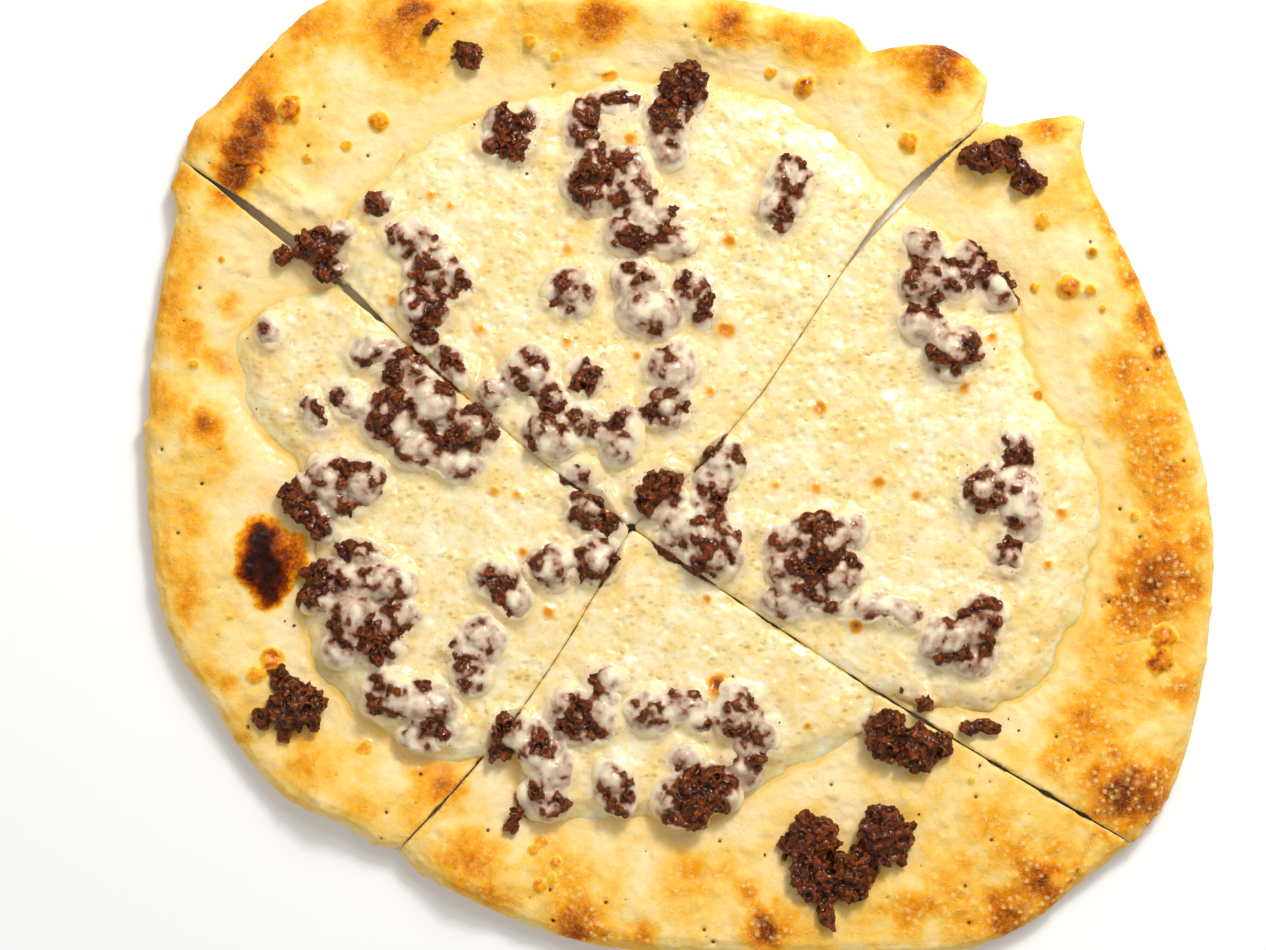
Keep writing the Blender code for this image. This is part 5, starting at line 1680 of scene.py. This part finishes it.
@dataclass
class CheeseSlice:
    """The melted cheese on one slice.

    Attributes:
        side: Which slice it is.
        around: What it meets.
        cell: The size of its skin's faces.
        hidden_share: How many faces stay where nothing shows.
        swell: The height of its broad swells.
        ripple: The height of its smaller ones.
        dent: The depth of its dents.
        crisp: The height of the skin that puffs up where it has toasted.
        climb: How high the cheese climbs up the lumps of meat.
        climb_width: How far from a lump that starts.
        thinning: How far in from its outer edge the cheese thins out to nothing.
        tuck: How far the edge itself dips into the bread.
        bedding: How far its underside stands under the solid's.
        steepest: The most that relief may rise for each millimetre away from a cut.
    """

    side: Side
    around: Surroundings
    cell: float = 0.5 * MM
    hidden_share: float = 0.08
    swell: float = 0.48 * MM
    ripple: float = 0.20 * MM
    dent: float = 0.5 * MM
    crisp: float = 0.35 * MM
    climb: float = 3.2 * MM
    climb_width: float = 4.6 * MM
    thinning: float = 8.0 * MM
    tuck: float = 0.4 * MM
    bedding: float = 0.42 * MM
    steepest: float = 0.45

    def build(self) -> Piece:
        """Makes the piece."""
        piece = copied(f"{self.side.value}_cheese", nodes_of(Layer.CHEESE, self.side))
        remeshed(piece, self.cell)
        thin_out_below(piece, -0.6, self.hidden_share)
        self.skin = Skin(piece)
        self.survey()
        self.sculpt()
        self.paint()
        return piece

    def survey(self) -> None:
        """Measures where each point lies, before any of them moves."""
        self.points, self.up = self.skin.places.copy(), self.skin.normals[:, 2].copy()
        points, around = self.points, self.around
        self.to_cut = distance_to(around.across[self.side], points, 5.0 * MM)
        self.to_meat = distance_to(around.all_meat, points, 5.0 * MM)
        inward = distance_to(around.cheese_rim[self.side], points, 16.0 * MM)
        self.inward = np.maximum(inward - drawn_back(points), 0.0)
        share = np.clip((self.inward - 0.2 * MM) / self.thinning, 0.0, 1.0)
        self.bare = marked(points, BARE, ragged=0.2, core=0.6, reach=1.5)
        propped = ramp(self.to_meat, 5.0 * MM, 0.5 * MM) * (1.0 - self.bare)
        propped *= ramp(self.inward, 0.3 * MM, 3.0 * MM)
        self.full = np.maximum(share * (1.5 - 0.5 * share**2), 0.9 * propped)
        self.toasted = marked(points, TOASTED, ragged=0.4, core=0.1, reach=1.4)

    def top_relief(self) -> Array:
        """The relief of the cheese, before the cuts limit it.

        Returns:
            A height for each point, in metres.
        """
        points, toasted = self.points, self.toasted
        height = self.swell * NOISE.waves(points, 9.0, 2)
        height += self.ripple * (1.0 - 2.2 * abs(NOISE.waves(points, 4.2, 2)))
        height += raised(points, BULGED) * ramp(self.to_cut, 1.5 * MM, 4.0 * MM)
        away, _, share = NOISE.cells(points, 4.6, flat=True)
        dented = NOISE.waves(points, 21.0, 2) > 0.0
        height -= self.dent * ramp(away, 1.5 * MM, 0.2 * MM) * (share > 0.5) * dented
        height += 0.30 * MM * ramp(away, 1.3 * MM, 0.2 * MM) * (share < 0.12)
        height += self.crisp * ramp(toasted, 0.05, 0.35) - 0.4 * MM * ramp(toasted, 0.5, 1.0)
        rise = self.climb * (0.8 + 0.5 * NOISE.waves(points, 5.0)) * (1.0 - 0.5 * self.bare)
        rise *= np.exp(-((self.to_meat / (0.55 * self.climb_width)) ** 2))
        return (height * self.full + rise) * ramp(self.up, 0.1, 0.7)

    def sculpt(self) -> None:
        """Gives the skin its relief and sinks its thin edge into the bread."""
        skin, points, up, to_cut = self.skin, self.points, self.up, self.to_cut
        limit = self.steepest * np.maximum(to_cut - 0.1 * MM, 0.0) + 0.3 * MM * ramp(up, 0.1, 0.7)
        height = np.minimum(self.top_relief(), limit)
        fused = ramp(to_cut, 2.2 * MM, 1.5 * MM) * ramp(NOISE.waves(points, 9.0, 2), -0.8, -0.1)
        fused *= ramp(abs(up), 0.8, 0.4)
        height += fused * np.maximum(0.5 * to_cut - 0.05 * MM, 0.0)
        skin.places[:, 2] -= np.where(up < 0.3, self.bedding, 0.0)
        skin.lift(height)
        bread, start = self.around.own[Layer.BREAD, self.side], 2.0 * MM
        above = depth_to(bread, lifted(skin.places, start), False, 9.0 * MM) - start
        above = np.clip(above, -1.0 * MM, 5.0 * MM)
        skin.places[:, 2] -= (above + self.tuck) * (1.0 - self.full)
        skin.keep_in_box()

    def paint(self) -> None:
        """Paints the masks that the cheese's finish reads."""
        points, to_meat, inward, paint = self.points, self.to_meat, self.inward, self.skin.paint
        # The ring round each lump: meat juice and run-off cheese, and also painted contact shade at the
        # lump's foot.
        to_juice = to_meat + 1.4 * MM * NOISE.waves(points, 5.0, 2)
        juice_and_shade = (1.0 - ramp(to_juice, 0.2 * MM, 4.8 * MM)) * (1.0 - 0.6 * self.bare)
        juice_and_shade *= 0.85 + 0.3 * NOISE.waves(points, 2.5, 2)
        run_off = marked(points, FILMED, ragged=0.7, core=0.0, reach=2.3)
        juice_and_shade = np.maximum(juice_and_shade, 0.75 * run_off * (1.0 - ramp(to_meat, 2.0 * MM, 5.0 * MM)))
        pooled = ramp(NOISE.waves(points, 15.0, 3), -0.05, 0.5)
        pooled *= ramp(inward, 26.0 * MM, 5.0 * MM)
        pooled = np.maximum(pooled, ramp(self.to_cut, 1.7 * MM, 0.6 * MM))
        oil = marked(points, OILED, ragged=0.5, core=0.0, reach=1.6)
        paint("toast", self.toasted)
        paint("amber", marked(points, TOASTED, ragged=0.6, core=0.0, reach=1.7) * 0.9)
        paint("oil", np.maximum(oil, 0.8 * pooled))
        paint("crease", creased(points, 1.0 * MM - inward))
        paint("melt", 0.6 * (1.0 - ramp(inward, 0.8 * MM, 5.0 * MM)))
        paint("juice_and_shade", np.clip(juice_and_shade, 0.0, 1.0))


@dataclass
class Mince:
    """The crumbs that minced meat falls into, each kind modelled once and then copied.

    Attributes:
        kinds: How many kinds there are.
    """

    kinds: int = 6

    def model(self) -> None:
        """Models every kind of crumb."""
        self.crumbs = [self._crumb(number) for number in range(self.kinds)]

    def _crumb(self, number: int) -> tuple[Array, Array]:
        """Models one kind of crumb with a radius of about 1.

        Args:
            number: Which kind.

        Returns:
            Its points and its faces.
        """
        draw = np.random.default_rng(number)
        stretch = draw.uniform((1.0, 0.7, 0.6), (1.5, 1.0, 0.85))
        bpy.ops.object.select_all(action="DESELECT")
        bpy.ops.mesh.primitive_ico_sphere_add(subdivisions=2, radius=1.0, location=(0, 0, 0))
        piece = bpy.context.view_layer.objects.active
        bpy.ops.object.mode_set(mode="EDIT")
        bpy.ops.mesh.select_all(action="SELECT")
        bpy.ops.transform.resize(value=tuple(stretch))
        bpy.ops.transform.vertex_random(offset=0.42, uniform=0.7, normal=0.5, seed=number)
        bpy.ops.object.mode_set(mode="OBJECT")
        mesh = piece.data
        mesh.calc_loop_triangles()
        points = np.array([vertex.co for vertex in mesh.vertices], float)
        faces = np.array([face.vertices for face in mesh.loop_triangles], int)
        bpy.data.objects.remove(piece)
        bpy.data.meshes.remove(mesh)
        return points, faces

    def strewn(
        self, name: str, places: Array, sizes: Array, draw: np.random.Generator
    ) -> Piece:
        """Copies crumbs to many places, each turned its own way.

        Args:
            name: The name of the piece that holds them.
            places: The middle of each crumb, in metres.
            sizes: Each crumb's radius, in metres.
            draw: Where the turns and the kinds come from.

        Returns:
            One piece with all of the crumbs, each a closed body.
        """
        turns = draw.normal(size=(len(places), 4))
        turns /= np.linalg.norm(turns, axis=1)[:, None]
        w, x, y, z = turns.T
        matrices = np.stack(
            (
                np.stack((1 - 2 * (y * y + z * z), 2 * (x * y - w * z), 2 * (x * z + w * y)), 1),
                np.stack((2 * (x * y + w * z), 1 - 2 * (x * x + z * z), 2 * (y * z - w * x)), 1),
                np.stack((2 * (x * z - w * y), 2 * (y * z + w * x), 1 - 2 * (x * x + y * y)), 1),
            ),
            1,
        )
        kinds = draw.integers(self.kinds, size=len(places))
        all_points, all_faces, first = [], [], 0
        for kind, (points, faces) in enumerate(self.crumbs):
            rows = np.flatnonzero(kinds == kind)
            turned = np.einsum("nij,pj->npi", matrices[rows], points) * sizes[rows, None, None]
            placed = (turned + places[rows, None, :]).reshape(-1, 3)
            starts = first + np.arange(len(rows)) * len(points)
            all_faces.append((faces[None] + starts[:, None, None]).reshape(-1, 3))
            all_points.append(placed)
            first += len(placed)
        mesh = mesh_of(name, np.concatenate(all_points), np.concatenate(all_faces))
        return new_piece(name, mesh)


@dataclass
class MeatOnSlice:
    """The lumps of minced meat on one slice, some bare and some under a veil of cheese.

    Attributes:
        side: Which slice they lie on.
        around: What they meet.
        mince: The crumbs that they are made of.
        cell: The size of their skin's faces.
        hidden_share: How many faces stay underneath.
        drawn_in: How far the lumps' cores stand in from the solids.
        crumbs_per_mm2: How many crumbs cover a square millimetre.
        crumb_radius: The smallest and the largest crumb.
        film_cell: The size of the faces of the cheese that flows over the lumps.
        covers: Shares of the lumps that this cheese covers.
        levels: How high it stands over the solids for each of these shares.
        retreat: The same where no cheese lies below.
        skirt: How far it spreads sideways at the lumps' foot.
        sag: How far it sinks there.
    """

    side: Side
    around: Surroundings
    mince: Mince
    cell: float = 0.38 * MM
    hidden_share: float = 0.12
    drawn_in: float = 1.35 * MM
    crumbs_per_mm2: float = 0.13
    crumb_radius: tuple[float, float] = (0.8 * MM, 2.3 * MM)
    film_cell: float = 0.6 * MM
    covers: tuple[float, ...] = (0.0, 0.33, 0.6, 1.0)
    levels: tuple[float, ...] = (-1.6 * MM, -1.0 * MM, 0.35 * MM, 0.85 * MM)
    retreat: float = -2.1 * MM
    skirt: float = 4.2 * MM
    sag: float = 1.9 * MM

    def build(self) -> Piece:
        """Makes the piece."""
        name = f"{self.side.value}_meat"
        core = copied(name, nodes_of(Layer.MEAT, self.side))
        crumbs = self.crumbs_over(core)
        film = self.flowing_cheese()
        skin = Skin(core)
        skin.lift(np.full(len(skin.places), -self.drawn_in))
        mince_tree, film_tree = tree_of(core, crumbs), tree_of(film)
        piece = joined(name, [core, crumbs, film])
        remeshed(piece, self.cell)
        thin_out_below(piece, -0.5, self.hidden_share)
        self.sculpt(Skin(piece), mince_tree, film_tree)
        return piece

    def over_cheese(self, points: Array) -> tuple[Array, Array]:
        """Looks for the slice's cheese below each point.

        Args:
            points: One place a row, in metres.

        Returns:
            Which points lie over cheese, and how high each stands over it, in metres.
        """
        start, reach = 1.0 * MM, 16.0 * MM
        cheese = self.around.own[Layer.CHEESE, self.side]
        depth = depth_to(cheese, lifted(points, start), False, reach)
        return depth < reach, depth - start

    def flowing_cheese(self) -> Piece:
        """Makes the cheese that runs over the lumps.

        Returns:
            A piece that wraps the lumps, and stays inside them where they are bare.
        """
        film = copied(f"{self.side.value}_film", nodes_of(Layer.MEAT, self.side))
        remeshed(film, self.film_cell)
        skin = Skin(film)
        skin.places = skin.eased(12)
        skin.store()
        points, turned = skin.places.copy(), skin.normals[:, 2].copy()
        on_cheese, above = self.over_cheese(points)
        bare = marked(points, BARE, ragged=0.2, core=0.6)
        some = 0.40 + 0.62 * NOISE.waves(points, 8.0, 2)
        some += 0.34 * (1.0 - ramp(above, 1.0 * MM, 5.0 * MM))
        cover = np.clip(np.where(on_cheese, some, 0.0), 0.0, 1.0) * (1.0 - bare)
        cover = np.maximum(cover, marked(points, FILMED, ragged=0.5, core=0.2, reach=1.6))
        foot = 1.0 - ramp(above, 0.6 * MM, 3.8 * MM)
        level = np.interp(cover, self.covers, self.levels) - 0.5 * MM * bare
        level = np.maximum(level, (1.8 * foot - 1.6 - 0.5 * bare) * MM)
        level = np.where(on_cheese, level, self.retreat)
        level += 0.12 * MM * NOISE.waves(points, 3.5, 2)
        level = np.where(level > 0.0, level * ramp(turned, -0.7, -0.1), level)
        outward = skin.normals[:, :2] / np.maximum(np.hypot(*skin.normals[:, :2].T), 0.2)[:, None]
        spread = self.skirt * foot**1.5 * ramp(turned, 0.7, 0.2) * ramp(cover, 0.15, 0.6)
        spread *= np.clip(0.7 + 0.7 * NOISE.waves(points, 6.0, 2), 0.15, 1.3)
        skin.lift(level)
        skin.places[:, :2] += outward * spread[:, None]
        skin.places[:, 2] -= self.sag * ramp(spread, 0.8 * MM, 3.4 * MM)
        skin.store()
        skin.places = skin.eased(6)
        skin.store()
        return film

    def crumbs_over(self, core: Piece) -> Piece:
        """Strews crumbs over the upper side and the flanks of the lumps.

        Args:
            core: The lumps.

        Returns:
            The crumbs, as one piece.
        """
        mesh = core.data
        mesh.calc_loop_triangles()
        points = np.array([vertex.co for vertex in mesh.vertices], float)
        corners = points[np.array([face.vertices for face in mesh.loop_triangles], int)]
        crosses = np.cross(corners[:, 1] - corners[:, 0], corners[:, 2] - corners[:, 0])
        areas = np.linalg.norm(crosses, axis=1) / 2
        normals = crosses / (2 * areas[:, None])
        weight = areas * (normals[:, 2] > -0.35)
        draw = np.random.default_rng(list(Side).index(self.side) + 7)
        count = int(weight.sum() / MM**2 * self.crumbs_per_mm2)
        rows = draw.choice(len(areas), size=count, p=weight / weight.sum())
        shares = np.sqrt(draw.random(count))[:, None], draw.random(count)[:, None]
        a, b, c = corners[rows, 0], corners[rows, 1], corners[rows, 2]
        places = (1 - shares[0]) * a + shares[0] * (1 - shares[1]) * b + shares[0] * shares[1] * c
        low, high = self.crumb_radius
        sizes = low + (high - low) * draw.random(count) ** 1.3
        places -= normals[rows] * (0.1 * MM + 0.66 * sizes[:, None])
        return self.mince.strewn(f"{self.side.value}_mince", places, sizes, draw)

    def sculpt(self, skin: Skin, mince: BVHTree, film: BVHTree) -> None:
        """Roughens the crumbs and paints the masks.

        Args:
            skin: The skin of the lumps and of the cheese over them.
            mince: The crumbs and cores alone.
            film: The cheese over the lumps alone.
        """
        points = skin.places.copy()
        off_film = distance_to(film, points, 2.0 * MM)
        on_cheese, _ = self.over_cheese(points)
        filmed = ramp(off_film, 0.42 * MM, 0.12 * MM) * on_cheese
        buried = distance_to(mince, points, 4.0 * MM)
        nearest, second, _ = NOISE.cells(points, 1.7)
        rough = 0.16 * MM * NOISE.waves(points, 1.2, 2)
        rough -= 0.26 * MM * ramp(second - nearest, 0.3 * MM, 0.0)
        skin.lift(rough * (1.0 - filmed))
        skin.keep_in_box()
        proud = skin.standing_out(34)
        veiled = filmed * (0.34 + 0.46 * (1.0 - np.exp(-buried / (0.8 * MM))))
        veiled += 0.26 * filmed * ramp(buried, 0.6 * MM, 2.2 * MM)
        wet = 0.30 * np.exp(-np.maximum(off_film - 0.1 * MM, 0.0) / (0.35 * MM)) * on_cheese
        skin.paint("film", skin.spread(np.maximum(veiled, wet), 5))
        # How far each point stands out; the meat's finish paints shade into the gaps and light onto the
        # tops from it.
        skin.paint("proud", np.clip(0.5 + proud / (0.8 * MM), 0.0, 1.0))


@dataclass
class LooseCrumbs:
    """The crumbs of meat that lie alone on the cheese and on the bread.

    Attributes:
        around: What they lie on.
        mince: The crumbs that they are made of.
        cell: The size of their skin's faces.
        strays: How many tiny ones lie round the lumps.
    """

    around: Surroundings
    mince: Mince
    cell: float = 0.28 * MM
    strays: int = 170

    def build(self) -> Piece:
        """Makes the piece."""
        draw = np.random.default_rng(31)
        places: list[tuple[float, float, float]] = []
        sizes: list[float] = []
        for crumb in CRUMBS:
            bits = max(1, round(crumb.radius * crumb.radius * 0.9))
            for _ in range(bits):
                spread = crumb.radius * 0.5 * (bits > 1)
                x = (crumb.x + draw.normal() * spread * 0.5) * MM
                y = (crumb.y + draw.normal() * spread * 0.5) * MM
                size = min(crumb.radius, draw.uniform(0.7, 1.2)) * 0.55 * MM
                places.append((x, y, self.ground(x, y) + (crumb.strength - 0.6) * size))
                sizes.append(size)
        for _ in range(self.strays):
            place = self.stray(draw)
            if place is not None:
                size = draw.uniform(0.22, 0.5) * MM
                places.append((*place[:2], place[2] + 0.3 * size))
                sizes.append(size)
        piece = self.mince.strewn("meat_crumbs", np.array(places), np.array(sizes), draw)
        remeshed(piece, self.cell)
        skin = Skin(piece)
        skin.lift(0.06 * MM * NOISE.waves(skin.places, 0.8, 2))
        # A middle value, so these crumbs get neither the painted shade in gaps nor the painted light on
        # tops.
        skin.paint("proud", np.full(len(skin.places), 0.6))
        skin.paint("film", np.full(len(skin.places), 0.05))
        return piece

    def ground(self, x: float, y: float) -> float:
        """The height of the food under a place.

        Args:
            x: The place, in metres.
            y: The same, away from the viewer.

        Returns:
            The height of its top, and 0 where there is none.
        """
        heights = [
            self.around.own[layer, side].ray_cast((x, y, 0.03), (0.0, 0.0, -1.0))[0]
            for layer in (Layer.BREAD, Layer.CHEESE)
            for side in Side
        ]
        return max((hit.z for hit in heights if hit is not None), default=0.0)

    def stray(self, draw: np.random.Generator) -> tuple[float, float, float] | None:
        """Draws a place and keeps it if it is free and close beside a lump of meat.

        Args:
            draw: Where the place comes from.

        Returns:
            The place on top of the food, or None.
        """
        x, y = draw.uniform(-120, 125) * MM, draw.uniform(-100, 115) * MM
        height = self.ground(x, y)
        if height == 0.0:
            return None
        away = self.around.all_meat.find_nearest((x, y, height + 1.0 * MM), 6.0 * MM)[3]
        if away is None or not 1.2 * MM < away < 4.5 * MM:
            return None
        return x, y, height


@dataclass
class Studio:
    """The floor, the light and the camera.

    Attributes:
        floor_side: The side of the square floor.
        camera_place: Where the camera hangs, looking straight down.
        lens: Its focal length in millimetres, on a film 36 mm wide.
    """

    floor_side: float = 4.0
    camera_place: tuple[float, float, float] = (-0.0120, -0.0007, 0.815)
    lens: float = 85.0

    def build(self, effects: Effects) -> None:
        """Sets everything up."""
        self.lay_floor(effects)
        self.light("key_light", (0.32, 0.58, 0.78), 0.60, 5.2)
        self.light("sparkle_light", (0.30, 0.62, 0.74), 0.18, 4.9)
        self.light("fill_light", (-0.7, -0.35, 0.75), 0.8, 1.2)
        world = bpy.data.worlds.new("studio")
        world.use_nodes = True
        sky = world.node_tree.nodes["Background"]
        sky.inputs["Color"].default_value = (1.0, 0.99, 0.97, 1.0)
        sky.inputs["Strength"].default_value = 0.43
        scene = bpy.context.scene
        scene.world = world
        scene.view_settings.view_transform = "Standard"
        scene.camera = self.hang_camera()

    def lay_floor(self, effects: Effects) -> None:
        """Lays a flat floor just under the food."""
        bpy.ops.object.select_all(action="DESELECT")
        bpy.ops.mesh.primitive_plane_add(size=self.floor_side, location=(0, 0, -0.05 * MM))
        floor = bpy.context.view_layer.objects.active
        floor.name = "floor"
        bpy.ops.object.transform_apply(location=True, rotation=True, scale=True)
        floor.data.materials.append(FloorFinish(effects).material)

    def light(self, name: str, place: tuple, size: float, power: float) -> None:
        """Hangs a soft square lamp that looks at the food.

        Args:
            name: Its name.
            place: Where it hangs.
            size: The side of the square.
            power: Its power in watts.
        """
        lamp = bpy.data.lights.new(name, "AREA")
        lamp.size = size
        lamp.energy = power
        holder = bpy.data.objects.new(name, lamp)
        holder.location = place
        holder.rotation_mode = "QUATERNION"
        holder.rotation_quaternion = (-Vector(place)).to_track_quat("-Z", "Y")
        bpy.context.scene.collection.objects.link(holder)

    def hang_camera(self) -> Piece:
        """Hangs the camera straight over the food."""
        camera = bpy.data.cameras.new("camera")
        camera.lens = self.lens
        camera.sensor_width = 36.0
        camera.clip_start = 0.01
        holder = bpy.data.objects.new("camera", camera)
        holder.location = self.camera_place
        bpy.context.scene.collection.objects.link(holder)
        return holder


def dress(piece: Piece, material: bpy.types.Material) -> None:
    """Gives a piece its material and its place on the frame.

    Args:
        piece: The piece.
        material: Its material.
    """
    piece.data.materials.clear()
    piece.data.materials.append(material)
    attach(piece, "root")


def report(piece: Piece) -> None:
    """Logs a piece's size in faces."""
    faces = sum(len(face.vertices) - 2 for face in piece.data.polygons)
    LOG.info("%s: %d triangles", piece.name, faces)


def main() -> None:
    """Builds the pieces in order, then the studio round them."""
    logging.basicConfig(level=logging.INFO, format="%(name)s %(relativeCreated)d %(message)s")
    effects = Effects(make_specks(), make_mottle(), make_fibres())
    finishes = {
        Layer.BREAD: CrustFinish(effects).material,
        Layer.CHEESE: CheeseFinish(effects).material,
        Layer.MEAT: MeatFinish(effects).material,
    }
    around = Surroundings()
    mince = Mince()
    mince.model()
    for side in Side:
        builders = {
            Layer.BREAD: BreadSlice(side, around),
            Layer.CHEESE: CheeseSlice(side, around),
            Layer.MEAT: MeatOnSlice(side, around, mince),
        }
        for layer, builder in builders.items():
            piece = builder.build()
            dress(piece, finishes[layer])
            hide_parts(*nodes_of(layer, side))
            report(piece)
    crumbs = LooseCrumbs(around, mince).build()
    dress(crumbs, finishes[Layer.MEAT])
    report(crumbs)
    Studio().build(effects)


if __name__ == "__main__":
    main()
